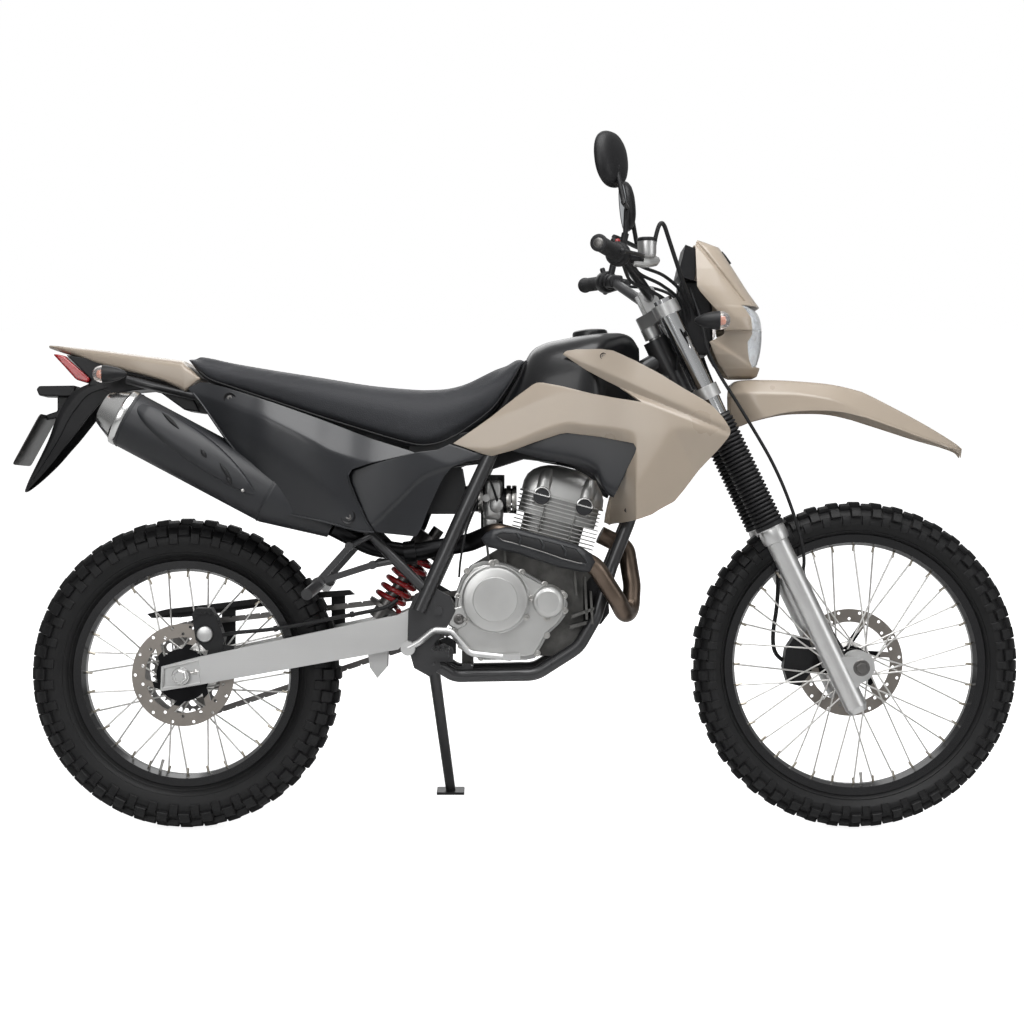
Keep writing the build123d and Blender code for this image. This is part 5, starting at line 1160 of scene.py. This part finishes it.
left_case = [(652, 400), (700, 374), (770, 376), (806, 410), (812, 470), (790, 525), (720, 552), (660, 540)]
soften(piece("left_case_cover", plate(left_case, 84, 107), cover_alloy, "chassis", sharp=30.0),
       0.004, 30.0, 3)
soften(piece("sprocket_cover", plate([(578, 430), (600, 412), (660, 415), (660, 525), (600, 520), (578, 500)], 88.5,
                                     101.5),
             black_part, "chassis", sharp=30.0), 0.003, 30.0, 3)
generator = [(0, 131.0), (40.0, 131.0), (42.0, 129.6), (58.0, 128.4), (63.0, 125.0), (66.0, 118.0), (69.5, 104.0)]
piece("generator_cover", turned(generator, (720, 0, 470), (0, 1, 0), 112), cover_alloy, "chassis",
      sharp=28.0)
piece("left_screws", screws([(668, 408), (706, 382), (766, 384), (798, 414), (804, 468), (784, 518), (722, 544),
                             (668, 532)],
                            107, 5.5, side=1, deep=4.0), zinc, "chassis")

webs = [plate([(x, z), (x + 5, z - 1), (x + 9, z - h), (x + 4, z - h)], -96, -60) for x, z, h in
        ((640, 606, 40), (676, 604, 46), (846, 540, 90), (858, 510, 70), (824, 560, 60))]
webs += [plate([(820, 452), (868, 470), (868, 476), (820, 460)], -96, -60),
         plate([(816, 430), (852, 440), (852, 447), (816, 438)],
                                                                            -96, -60)]
piece("case_webs", gather(*webs), dark_cast, "chassis", sharp=30.0)
studs = [turned([(0, 10), (6, 10), (7.5, 8), (7.5, -6), (10, -7), (10, -12)], (x, -70, z), (0.25, 0, 0.97), 20)
         for x, z in ((700, 612), (764, 606), (822, 592))]
piece("base_studs", gather(*studs), dark_steel, "chassis")
mount = plate([(818, 562), (866, 566), (898, 520), (902, 462), (884, 438), (846, 446), (838, 500)], -50, -43)
soften(piece("front_mounts", both(mount), black_part, "chassis", sharp=30.0), 0.0015, 30.0, 2)
soften(piece("regulator", plate([(640, 764), (720, 790), (790, 782), (800, 800), (700, 812), (636, 800)], -40, 40),
             black_part,
             "chassis", sharp=30.0), 0.004, 30.0, 3)

# %% [markdown]
# ## Heat shield and silencer
# The shield is half a tube of black sheet, hugging the header with a long sunk window whose
# louvres let air through. The silencer is a painted can with a raised leaf-shaped cover on its
# outer side and a spun, bright end. The cover is drawn on the can's own surface: distance along
# its axis and angle round it.

# %% The shield
shield_top = [(631, 622), (640, 632), (656, 642), (680, 646), (706, 643), (740, 633), (790, 620), (838, 605),
              (860, 590),
              (869, 572)]
shield_low = [(631, 622), (636, 611), (646, 603), (668, 598), (700, 592), (740, 578), (790, 562), (838, 552),
              (858, 552),
              (869, 572)]
flat_shield = patch(shield_low, shield_top, n=90, m=26)
v = np.linspace(0, 1, 26)[None]
out_line = np.interp(flat_shield[..., 0], [620, 660, 850, 890], [137, 140, 140, 128])
shield_y = out_line + 17.0 * np.sqrt(np.clip(1 - (2 * v - 1) ** 2, 0, 1)) * np.sqrt(
    np.clip(np.minimum((flat_shield[..., 0] - 629) / 24, (871 - flat_shield[..., 0]) / 24), 0.02, 1))
shield = np.stack([flat_shield[..., 0], -shield_y, flat_shield[..., 1]], -1)
walled(piece("shield_shell", (shield.reshape(-1, 3), [cells(90, 26)[:, ::-1]]), matte_black, "chassis",
             ("exhaust_shield",), sharp=60.0, outward=False), 1.8, 0.0005)


def on_shield(points, lift):
    """Side-view points laid on the shield, lifted off it: the wall at the nearest of its grid points."""
    p = np.asarray(points, float)
    gap = ((p[..., None, None, :] - flat_shield) ** 2).sum(-1)
    wall = shield_y.ravel()[gap.reshape(*p.shape[:-1], -1).argmin(-1)]
    return np.stack([p[..., 0], -(wall + lift), p[..., 1]], -1)


window_top = edge([(662, 630), (674, 635), (705, 632), (780, 613), (828, 600), (846, 580), (851, 570)], 60)
window_low = edge([(662, 626), (676, 616), (700, 610), (760, 592), (800, 578), (834, 569), (851, 568)], 60)
rows = np.linspace(0, 1, 9)[None, :, None]
window = on_shield(window_low[:, None] * (1 - rows) + window_top[:, None] * rows, 0.6)
piece("shield_window", (window.reshape(-1, 3), [cells(60, 9)[:, ::-1]]), soft_rubber, "chassis",
      outward=False)
piece("window_bead", pipe(on_shield(np.concatenate([window_low, window_top[::-1], window_low[:1]]), 0.8), 1.7, 8),
      matte_black, "chassis")
bars = [on_shield(edge([(x, z), (x + 9, z - 12), (x + 7, z - 22)], 12), 1.2) for x,
        z in ((704, 633), (752, 621), (798, 607))]
piece("window_bars", gather(*[pipe(run, 2.4, 8) for run in bars]), matte_black, "chassis")
piece("window_glint", pipe(on_shield(window_low[3:-3] + [0, 1.5], 1.0), 0.9, 6), dark_steel, "chassis")

# %% The silencer's cover, end and strap
slope = np.radians(28.0)
CAN_WAY = np.array([np.cos(slope), 0.0, -np.sin(slope)])
CAN_OUT = np.array([0.0, -1.0, 0.0])
CAN_UP = np.cross(CAN_WAY, CAN_OUT)
CAN_UP *= np.sign(CAN_UP[2])


def on_can(run, angle, lift=0.0):
    """A point on the silencer: its run along the axis, its angle above the outer side, lifted off the can."""
    run, angle = np.asarray(run, float)[..., None], np.radians(np.asarray(angle, float))[..., None]
    return np.array([-114.0, -127.0, 873.5]) + run * CAN_WAY + (60.0 + np.asarray(lift)[..., None]) * (
        np.cos(angle) * CAN_OUT + np.sin(angle) * CAN_UP)


u = np.linspace(0, 1, 80)[:, None]
w = np.linspace(-1, 1, 30)[None]
run = 22 + u * 300
mid_angle = 36 - 46 * u + 6 * np.sin(np.pi * u)
half_angle = 33 * np.sin(np.pi * np.clip(u, 0.0, 1.0) ** 0.75) ** 0.6 + 0.5
leaf = on_can(run + 0 * w, mid_angle + half_angle * w, 7.0 * (1 - np.abs(w) ** 6) * np.clip(np.minimum(u,
    1 - u) * 14, 0, 1) + 0.4)
piece("silencer_cover", (leaf.reshape(-1, 3), [cells(80, 30)]), matte_black, "chassis", sharp=40.0)
slots = [on_can(r + along_ * np.linspace(-1, 1, 16), a + tip * np.linspace(-1, 1, 16), 7.6)
         for r, a, along_, tip in ((96, 38, 24, -7), (190, 12, 9, -4), (248, 2, 20, -9), (262, -9, 10, -5))]
piece("cover_slots", gather(*[pipe(line, np.sin(np.linspace(0.15, np.pi - 0.15, 16)) * 4.6, 10) for line in slots]),
      soft_rubber, "chassis")
piece("cover_rivet", turned([(0, 2), (2.5, 1.6), (4, 0), (4, -2)], on_can(296, -13, 7.0), CAN_OUT, 20), zinc,
      "chassis")
bands = [turned([(60.4, r - 1.6), (61.2, r - 1.0), (61.2, r + 1.0), (60.4, r + 1.6)], (-114, -127, 873.5), CAN_WAY,
                96)
         for r in (12, 344)]
piece("silencer_seams", gather(*bands), matte_black, "chassis")
end_line = [(21, 6), (21, -50), (24, -52), (33, -50), (37, -46), (45, -30), (54, -10), (58.4, -7), (60.6, -5.5),
            (61.2, -2), (61.2, 5),
            (60.3, 7), (58.5, 8)]
piece("silencer_end", turned(end_line, (-114, -127, 873.5), CAN_WAY, 128), bright_alloy, "chassis",
      ("silencer_cap",), sharp=28.0)

# %% [markdown]
# ## Lamps, mirrors and grips
# A turn signal is a teardrop of black rubber closed by a clear lens over an amber bulb. A mirror
# is a shallow oval bowl: ovals of shrinking size, each a little further behind the glass, with
# the glass laid in its rim. A grip is a ribbed sleeve with a flange inboard and a knob outboard.

# %% Signals and the tail lamp
def signal(centre, way, reach_in, radius, name, body, node):
    """Teardrop body, clear lens and amber bulb along one direction, mirrored to the other side, with their stems."""
    k = radius / 20.0
    teardrop = [(0, -40), (4, -38.5), (9, -32), (14, -20), (17.6, -6), (19.3, 6), (20, 11), (20, 13), (18.6, 13)]
    dome = [(19.4, 12), (19.2, 17), (17.6, 24), (14, 30), (8, 34), (0, 35.5)]
    bulb = [(0, 24), (5, 22), (7, 16), (6, 8), (0, 8)]
    made = [[(r * k, a * k) for r, a in line] for line in (teardrop, dome, bulb)]
    shell, glass, lit = [turned(line, centre, way, 48) for line in made]
    stem = pipe([np.array(centre) - np.array(way) * 8 * k, np.array(reach_in, float)], 7.0, 14, steps=6,
                aside=(0, 0.1, 1))
    piece(name + "_bodies", both(gather(shell, stem)), black_part, body, (node,), sharp=30.0)
    piece(name + "_lenses", both(glass), signal_lens, body)
    piece(name + "_bulbs", both(lit), amber, body)


amber = finish("amber_bulb", (0.70, 0.20, 0.08), 0.25, drift=0.1, patch=60.0)
signal((1112, -170, 1073), (1, 0, 0), (1108, -98, 1076), 20.0, "front_signal", "steering_head", "front_signals")
signal((-146, -136, 964), (-1, 0, 0), (-140, -56, 968), 19.0, "rear_signal", "chassis", "rear_signals")
tail_glass = [(-280, 1012), (-268, 1011), (-255, 1008), (-199, 959), (-206, 950), (-230, 957), (-256, 986)]
soften(piece("tail_lens", plate(tail_glass, -57, 57), red_lens, "chassis", ("tail_lamp",), sharp=30.0),
       0.005, 30.0, 3)
glints = [plate([(-262, 997), (-256, 1001), (-222, 968), (-228, 965)], y, y + 1.4) for y in (-58.0, 56.6)]
piece("tail_facets", gather(*glints), red_lens, "chassis")

# %% [markdown]
# ## Rear mudguard and plate
# Under the tail a black side plate reaches forward to the seat rail. From it the guard itself
# sweeps down and back, a channel whose flanges cup towards the wheel and close in to a rounded
# tip. The number plate is bare and hangs on its own bracket behind it.

# %% The guard, its bracket and its plate
flank = [(34, 888), (10, 936), (-50, 959), (-100, 977), (-170, 997), (-251, 1010), (-197, 957), (-205, 946),
         (-150, 925),
         (-110, 934), (-75, 937), (-50, 929), (0, 893)]
soften(piece("tail_flanks", plate(flank, -58, 58), black_part, "chassis", ("rear_mudguard",),
             sharp=30.0),
       0.003, 30.0, 3)
guard_rows = np.array([
    # outer x, outer z, foot x, foot z, half width
    (-205, 951, -118, 930, 60), (-238, 934, -165, 918, 60), (-261, 906, -198, 885, 59), (-275, 880, -218, 860, 58),
    (-291, 834, -240, 832, 56), (-306, 802, -262, 806, 52), (-322, 772, -286, 777, 45), (-337, 745, -317, 745, 32),
    (-347, 726, -340, 724, 16), (-350, 720, -348, 718.5, 5)], float)
g = along(guard_rows, 90)[:, None]
share = np.concatenate([np.linspace(0, 0.12, 8), np.linspace(0.16, 0.52, 10), np.linspace(0.56, 1.0, 10)])[None, :,
    None]
spread = np.interp(share, [0, 0.12, 0.16, 0.30, 0.52, 0.56, 1.0], [0, 0.84, 0.92, 1.0, 1.0, 0.95, 0.93])
guard_line = g[..., 0:2] + (g[..., 2:4] - g[..., 0:2]) * np.clip((share - 0.08) / 0.92, 0, 1)
guard = np.stack([guard_line[..., 0], -(g[..., 4] * spread[..., 0]), guard_line[..., 1]], -1)
walled(piece("guard_shell", both((guard.reshape(-1, 3), [cells(90, 28)])), black_part, "chassis",
             sharp=40.0),
       3.0, 0.0008)
bracket = gather(plate([(-312, 945), (-318, 938), (-312, 924), (-235, 922), (-235, 946)], -40, 40),
                 plate([(-276, 924), (-250, 924), (-262, 880), (-300, 872), (-300, 884), (-276, 892)], -26, 26))
soften(piece("plate_bracket", bracket, black_part, "chassis", sharp=30.0), 0.003, 30.0, 3)
plate_way = np.array([-59.0, 0.0, -108.0]) / np.hypot(59, 108)
plate_out = np.array([-plate_way[2], 0.0, plate_way[0]]) * -1.0
middle_of_plate = np.array([-328.5, 0.0, 830.0])
t = np.linspace(0, 2 * np.pi, 64, endpoint=False)[:, None]
square = np.concatenate([np.sign(np.cos(t)) * np.abs(np.cos(t)) ** 0.12,
                         np.sign(np.sin(t)) * np.abs(np.sin(t)) ** 0.12], -1)
plate_rings = [middle_of_plate + square[:, :1] * 85 * k * np.array([0, 1.0, 0]) + square[:,
    1:] * 61 * k * plate_way + rise * plate_out
               for k, rise in ((0.985, -1.5), (1.0, -0.8), (1.0, 0.8), (0.985, 1.5), (0.93, 1.5), (0.92, 0.9))]
piece("number_plate", sections(plate_rings), plate_grey, "chassis", sharp=30.0)
plate_spots = [middle_of_plate + plate_way * -24 + np.array([0, y, 0]) + plate_out * 1.2 for y in (-50, 50)]
piece("plate_screws", gather(*[turned([(0, 3.2), (4, 3), (6.5, 1.2), (6.8, -1)], spot, plate_out,
                                      20) for spot in plate_spots]),
      zinc, "chassis")

# %% Mirrors
def mirror(centre, across_head, facing, side, name):
    """Bowl, glass and stalk of one mirror from its middle, the way across it and the way its back faces."""
    centre, facing = np.array(centre, float), np.array(facing, float) / np.linalg.norm(facing)
    wide = np.array(across_head, float) - np.dot(across_head, facing) * facing
    wide /= np.linalg.norm(wide)
    tall = np.cross(facing, wide)
    size = np.array([(0.90, 1.2), (0.955, 0.4), (0.985, 1.6), (1.0, 4.5), (0.99, 9), (0.93, 15), (0.80, 20.5),
                     (0.60, 24),
                     (0.32, 26), (0.06, 26.5)])[:, None, :]
    t = np.linspace(0, 2 * np.pi, 72, endpoint=False)[None, :, None]
    e = 2 / 2.25
    bowl = (centre + 50 * size[..., :1] * np.sign(np.cos(t)) * np.abs(np.cos(t)) ** e * wide
            + 58 * size[..., :1] * np.sign(np.sin(t)) * np.abs(np.sin(t)) ** e * tall + size[..., 1:] * facing)
    rim = bowl[0]
    glass = np.stack([rim, centre + (rim - centre) * 0.5 - facing * 0.2,
                      centre + (rim - centre) * 0.02 - facing * 0.3])
    piece(name + "_glass", sections(glass), mirror_glass, "steering_head", sharp=60.0)
    foot = np.array([925.7, 247.8 * side, 1243.1])
    back = centre + facing * 20
    stalk = pipe([foot, foot + [2, -4 * side, 46], foot + [3, -5 * side, 54], back + [14, 18 * side, -92],
                  back + [13, 16 * side, -84], back + [0, 0, -16], back + [0, 0, 2]], 5.2, 16, steps=60)
    ball = turned([(0, 9), (5, 8), (8.5, 4), (9.5, -2), (8, -8), (5.4, -11)], back + [0, 0, -20], (0, 0, 1), 28)
    return gather(sections(bowl), stalk, ball)


near = mirror((888, -302, 1384), (-0.62, -0.78, 0.0), (0.78, -0.62, 0.12), -1, "near_mirror")
far = mirror((948, 300, 1374), (-0.12, 0.99, 0.0), (0.98, 0.12, 0.10), 1, "far_mirror")
piece("mirror_shells", gather(near, far), black_part, "steering_head", ("mirrors",), sharp=50.0)

# %% Grips
bar_end, bar_bend = np.array([865.0, -405.0, 1205.0]), np.array([922.0, -235.0, 1196.5])
bar_way = (bar_bend - bar_end) / np.linalg.norm(bar_bend - bar_end)
run = np.linspace(6, 112, 150)
ribbed = np.stack([15.0 + 0.9 * np.clip(np.sin(2 * np.pi * run / 5.3) * 2.5, -1, 1), run], -1)
sleeve = np.concatenate([[(11.2, -1), (15.6, -1), (17.6, 0.5), (17.6, 3.5), (15.6, 5)], ribbed,
                         [(15.5, 114), (19.5, 116), (21, 118), (21, 121), (19, 123), (11.2, 124)]])
knob = [(0, -3.5), (7, -3.2), (9.6, -1.8), (10.2, 1), (10.2, 6)]
piece("grip_sleeves", both(turned(sleeve, bar_end, bar_way, 48)), soft_rubber, "steering_head",
      ("grips",), sharp=40.0)
piece("grip_ends", both(turned(knob, bar_end, bar_way, 40)), dark_steel, "steering_head")

# %% Throttle housing, levers and brake reservoir
def on_bar(distance, ahead=0.0, above=0.0):
    """A point by its distance along the bar from its right end, ahead of it and above it."""
    return bar_end + distance * bar_way + np.array([ahead, 0.0, above])


housing = turned([(11.2, 0), (19, 0), (23, 2), (25, 6), (25, 22), (23, 27), (18, 29), (11.2, 29)], on_bar(127),
                 bar_way, 48)
perch = turned([(11.2, 0), (16, 0), (18, 2), (18, 15), (16, 17), (11.2, 17)], on_bar(157), bar_way, 40)
arm = pipe([on_bar(166, 12), on_bar(166, 30, -2), on_bar(166, 46, -4)], [10, 8.5, 8], 20, steps=12)
lever = pipe([on_bar(176, 34, -2), on_bar(150, 46, -4), on_bar(105, 55, -8), on_bar(50, 52, -12), on_bar(4, 46, -16)],
             [6.5, 5.6, 4.4, 4.0, 4.6], 16, steps=60)
ball = turned([(0, 6.5), (3.4, 5.6), (6, 2.6), (6.5, 0), (6, -2.6), (3.4, -5.6), (0, -6.5)], on_bar(4, 46, -16),
              bar_way, 24)
stalk_foot = pipe([on_bar(166, 0, 12), on_bar(166, 8, 46)], 7.5, 20, steps=6)
switch = turned([(0, 9), (4.5, 8.4), (6, 6), (6, -3)], on_bar(141, -8, 24), (-0.3, 0, 1), 24)
piece("hand_housings", both(gather(housing, perch, arm, stalk_foot, switch)), black_part, "steering_head",
      ("hand_controls",), sharp=35.0)
button = turned([(0, 4.5), (5.5, 4.0), (7.0, 2.0), (7.0, -4.0)], on_bar(142, -3, 26.5), (-0.2, 0, 1), 20)
piece("stop_button", button, red_paint, "steering_head", sharp=40.0)
box = plate([(-14, -14), (13, -16), (16, -4), (14, 12), (-8, 14), (-16, 4)], 0, 34)
box = (box[0] * [1, -1, 1] @ np.array([[1, 0, 0], -bar_way * [1, -1, 1], [0, 0, 1]]) + on_bar(170) * [1, -1, 1],
       box[1])
soften(piece("switch_box", box, black_part, "steering_head", sharp=40.0), 0.003, 40.0, 3)
piece("hand_levers", both(gather(lever, ball)), black_part, "steering_head", sharp=50.0)
cup = [(0, 0), (15, 0), (17.5, 2), (19, 8), (19.5, 30), (19.5, 33)]
lid = [(19.5, 32.5), (21, 33), (21, 38), (18, 40.5), (0, 40.5)]
piece("reservoir_cup", turned(cup, (972, -208, 1199), (0, 0, 1), 48), satin_alloy, "steering_head",
      sharp=30.0)
piece("reservoir_lid", turned(lid, (972, -208, 1199), (0, 0, 1), 48), black_part, "steering_head",
      sharp=30.0)
master = gather(pipe([(938, -232, 1188), (968, -208, 1190), (990, -190, 1194)], [10, 13, 11], 24, steps=14),
                turned([(0, 6), (6, 6), (8, 3), (8, -4)], (992, -188, 1195), (0.7, 0.6, 0.12), 6),
                pipe([(966, -208, 1190), (970, -208, 1202)], 9, 20))
hose = slack([(986, -190, 1200), (987, -196, 1234), (1003, -196, 1284), (1022, -174, 1232), (1060, -112, 1138),
              (1092, -45, 1088), (1101, 46, 1066), steer(-20, 79, 100), steer(-386, 79, 100), steer(-450, 56, 67),
              steer(-560, 6, 66), (1260, 67, 400), (1272, 70, 356), (1300, 72, 348)], 14)
speed_cable = slack([(1066, -40, 1180), (1074, -50, 1150), (1098, -88, 1070), (1108, -100, 1000), (1185, -101, 880),
                     (1262, -93, 750), (1318, -68, 590), (1306, -64, 528), (1396, -62, 384)], 14)
piece("front_hose", pipe(hose, 4.5, 14), soft_rubber, "steering_head", stands_for=["front_cables"])
piece("speed_cable", pipe(speed_cable, 3.6, 12), soft_rubber, "steering_head",
      stands_for=["front_cables"])
piece("master_cylinder", master, cover_alloy, "steering_head", sharp=40.0)
runs = [[on_bar(150, 14, -12), (960, -190, 1166), (1010, -120, 1150), (1052, -62, 1120), (1066, -52, 1050),
         (1058, -40, 985)],
        [on_bar(160, 16, -8), (965, -196, 1180), (1015, -128, 1168), (1056, -70, 1136), (1074, -46, 1070),
         (1066, -30, 1000)],
        [on_bar(150, 6, -16), (940, -200, 1150), (985, -130, 1138), (1030, -70, 1112), (1050, -44, 1040),
         (1046, -30, 980)]]
piece("bar_cables", gather(*[pipe(run, 3.6, 10, steps=60) for run in runs]), soft_rubber, "steering_head")
piece("left_cables", gather(*[pipe(np.array(run) * [1, -1, 1], 3.4, 10, steps=60) for run in runs[:2]]), soft_rubber,
      "steering_head")

# %% Gaiters and slider collars
t = np.linspace(0, 1, 27 * 9 + 1)
folds = np.stack([26.0 + 5.7 * np.abs(np.sin(27 * np.pi * t)) ** 0.75 - 1.2 * t, -392 + 240 * t], -1)
bellows = np.concatenate([[(24.2, -402), (30.5, -402), (31.0, -400), (31.0, -394), (28, -392.5)], folds[2:-2],
                          [(26, -151), (27.5, -150), (27.5, -143), (26.5, -141), (20.8, -141)]])
collar = [(24, -436), (27.5, -434), (29, -428), (29, -410), (27.5, -404), (24, -402)]
legs = [(steer(0, 40, y), STEM) for y in (-100, 100)]
piece("gaiter_bellows", gather(*[turned(bellows, c, a, 56) for c, a in legs]), soft_rubber, "steering_head",
      ("fork_gaiters",), sharp=60.0)
piece("slider_collars", gather(*[turned(collar, c, a, 56) for c, a in legs]), slider_alloy, "steering_head")
clips = [turned([(28.3, r - 2), (29.4, r - 1.6), (29.4, r + 1.6), (28.3, r + 2)], c, a, 48)
         for c, a in legs for r in (-146.5,)]
piece("gaiter_clips", gather(*clips), dark_steel, "steering_head")

# %% [markdown]
# ## Fastenings, hoses and the carburettor
# The last pass is the hardware that says how it is held together: the axle's nut and its chain
# adjuster, the caliper's cap, screws sunk in the panels, the brake hose clipped to the swingarm,
# and the carburettor between its two rubber sleeves.

# %% Rear axle and caliper
def hexagon(radius, low, high, centre, axle):
    """A nut: a six-sided profile turned in six steps, its corners cut back at the outer face."""
    return turned([(0, high), (radius * 0.86, high), (radius, high - 1.5), (radius, low), (0, low)], centre, axle, 6)


right_out = (0, -1, 0)
nut = gather(hexagon(14.5, 113.5, 122, (0, 0, 332), right_out),
             turned([(0, 113.6), (17.5, 113.6), (18.5, 112.6), (18.5, 109)],
                                                                 (0, 0, 332), right_out, 40))
piece("axle_nut", nut, bright_alloy, "chassis", sharp=25.0)
front_nut = gather(hexagon(12.0, 117.5, 126, FRONT_AXLE, right_out),
                   turned([(0, 118.4), (16, 118.4), (17.5, 117.4), (17.5, 113)], FRONT_AXLE, right_out, 40))
piece("front_axle_nut", front_nut, dark_steel, "steering_head", sharp=25.0)
adjuster = gather(pipe([(20, -103.5, 338.5), (39, -103.5, 342)], 3.2, 12),
                  hexagon(6.0, -3, 3, (30, -103.5, 340.4), (1, 0, 0.18)))
piece("chain_adjuster", adjuster, zinc, "chassis", sharp=25.0)
rim_of_end = [(-38, -106.6, 307), (-36, -106.6, 349), (36, -106.6, 365), (42, -106.6, 318), (-38, -106.6, 307)]
piece("end_plate_rim", pipe(rim_of_end, 1.8, 8), satin_alloy, "chassis")
cap = turned([(0, 4.0), (12, 4.0), (15.5, 3.0), (17, 0.8), (17, -2)], (50, -104, 420), right_out, 48)
piece("caliper_cap", cap, satin_alloy, "chassis")
dome = [turned([(0, 2.2), (3, 1.6), (3, -2)], (52 + 34 * np.cos(a), -101, 424 + 40 * np.sin(a)), right_out, 10)
        for a in np.radians(np.arange(20, 165, 18))]
piece("caliper_ribs", gather(*dome), black_part, "chassis")
hose = pipe([(88, -98, 418), (120, -112, 424), (200, -112, 432), (310, -112, 452), (420, -112, 474),
             (455, -104, 492)],
            4.2, 12, steps=80)
piece("rear_brake_hose", hose, soft_rubber, "chassis")
clips = [turned([(4.4, -4), (6.4, -4), (6.4, 4), (4.4, 4)], at, (0.97, 0, 0.2), 20) for at in ((200, -112, 432),
    (360, -112, 462))]
piece("hose_clips", gather(*clips), black_part, "chassis")

# %% Screws sunk in the panels
def sunk(x, z, wall, radius):
    """A dark dished ring and its screw, on a panel's wall at one point of the side view."""
    y = float(wall(np.array([x]), np.array([z]))[0])
    dish = turned([(0, -3), (radius * 0.7, -3), (radius * 0.92, 0.4), (radius, 0.9), (radius * 1.06, 0.2)],
                  (x, -y, z), right_out, 40)
    return dish, screws([(x, z)], -(y - 2.6), radius * 0.42, deep=3.0)


dishes = [sunk(110, 912, rear_wall, 12.0), sunk(357, 667, rear_wall, 15.0), sunk(885, 1001, shroud_wall, 6.5),
          sunk(933, 680, shroud_wall, 4.0)]
piece("panel_dishes", both(gather(*[dish for dish, screw in dishes])), black_part, "chassis")
piece("panel_screws", both(gather(*[screw for dish, screw in dishes])), dark_steel, "chassis")

# %% Carburettor
def cushion(centre, half, e=4.0, rows=14, sides=40):
    """A rounded box: superellipse rings that close in at top and bottom."""
    lift = np.sin(np.linspace(-np.pi / 2, np.pi / 2, rows))[:, None]
    reach = (1 - np.abs(lift) ** e) ** (1 / e)
    t = np.linspace(0, 2 * np.pi, sides, endpoint=False)[None]
    x = np.sign(np.cos(t)) * np.abs(np.cos(t)) ** (2 / e) * reach
    y = np.sign(np.sin(t)) * np.abs(np.sin(t)) ** (2 / e) * reach
    return sections(np.array(centre) + np.stack([x, y, lift + 0 * x], -1) * half)


carburettor = gather(cushion((655, 0, 680), (22, 40, 26)), cushion((650, 0, 655), (17, 36, 16)),
                     cushion((655, 0, 722), (20, 30, 28)),
                     turned([(0, 44), (13, 44), (15, 42), (15, 30)], (662, 0, 690), right_out, 32),
                     turned([(0, 43), (8, 43), (8, 30)], (640, 0, 706), right_out, 24))
piece("carburettor", carburettor, cover_alloy, "chassis", sharp=50.0)
sleeves = [turned([(27.4, r - 5), (29.6, r - 5), (30.2, r - 2), (30.2, r + 2), (29.6, r + 5), (27.4, r + 5)],
                  (0, 0, 704), (1, 0, 0), 40)
           for r in (604, 628, 688, 700)]
piece("intake_clamps", gather(*sleeves), zinc, "chassis")
throttle = pipe([(664, -44, 700), (650, -52, 740), (628, -64, 790), (640, -60, 830)], 2.6, 10, steps=50)
decomp = pipe([(624, -100, 700), (600, -118, 640), (588, -120, 580), (584, -112, 540)], 2.4, 10, steps=50)
piece("engine_cables", gather(throttle, decomp), soft_rubber, "chassis")

# %% [markdown]
# ## The floor
# The motorcycle stands on plain pale lino. Its own glow shows only to the camera, straight or
# through a lens; everything else is the soft shadow of the motorcycle.

# %% Floor
reach = np.linspace(-14.0, 14.0, 3)
ground = np.stack(np.broadcast_arrays(reach[:, None], reach[None, :], 0.0), -1)
floor_mesh = bpy.data.meshes.new("studio_floor")
floor_mesh.from_pydata((ground.reshape(-1, 3) - [0.0, 0.0, 0.0005]).tolist(), [], cells(3, 3).tolist())
floor_finish = finish("pale_floor", (0.86, 0.86, 0.86), 0.9, drift=0.006, patch=1.2, depth=0.01)
tree = floor_finish.node_tree
shine = tree.nodes.new("ShaderNodeEmission")
shine.inputs["Color"].default_value = (1.0, 1.0, 1.0, 1.0)
seen_by = tree.nodes.new("ShaderNodeLightPath")
either = tree.nodes.new("ShaderNodeMath")
either.operation = "MAXIMUM"
share = tree.nodes.new("ShaderNodeMath")
share.operation = "MULTIPLY"
share.inputs[1].default_value = 0.92
total = tree.nodes.new("ShaderNodeAddShader")
tree.links.new(seen_by.outputs["Is Camera Ray"], either.inputs[0])
tree.links.new(seen_by.outputs["Is Transmission Ray"], either.inputs[1])
tree.links.new(either.outputs[0], share.inputs[0])
tree.links.new(share.outputs[0], shine.inputs["Strength"])
tree.links.new(tree.nodes["Principled BSDF"].outputs[0], total.inputs[0])
tree.links.new(shine.outputs[0], total.inputs[1])
tree.links.new(total.outputs[0], tree.nodes["Material Output"].inputs["Surface"])
floor_mesh.materials.append(floor_finish)
floor = bpy.data.objects.new("studio_floor", floor_mesh)
bpy.context.scene.collection.objects.link(floor)
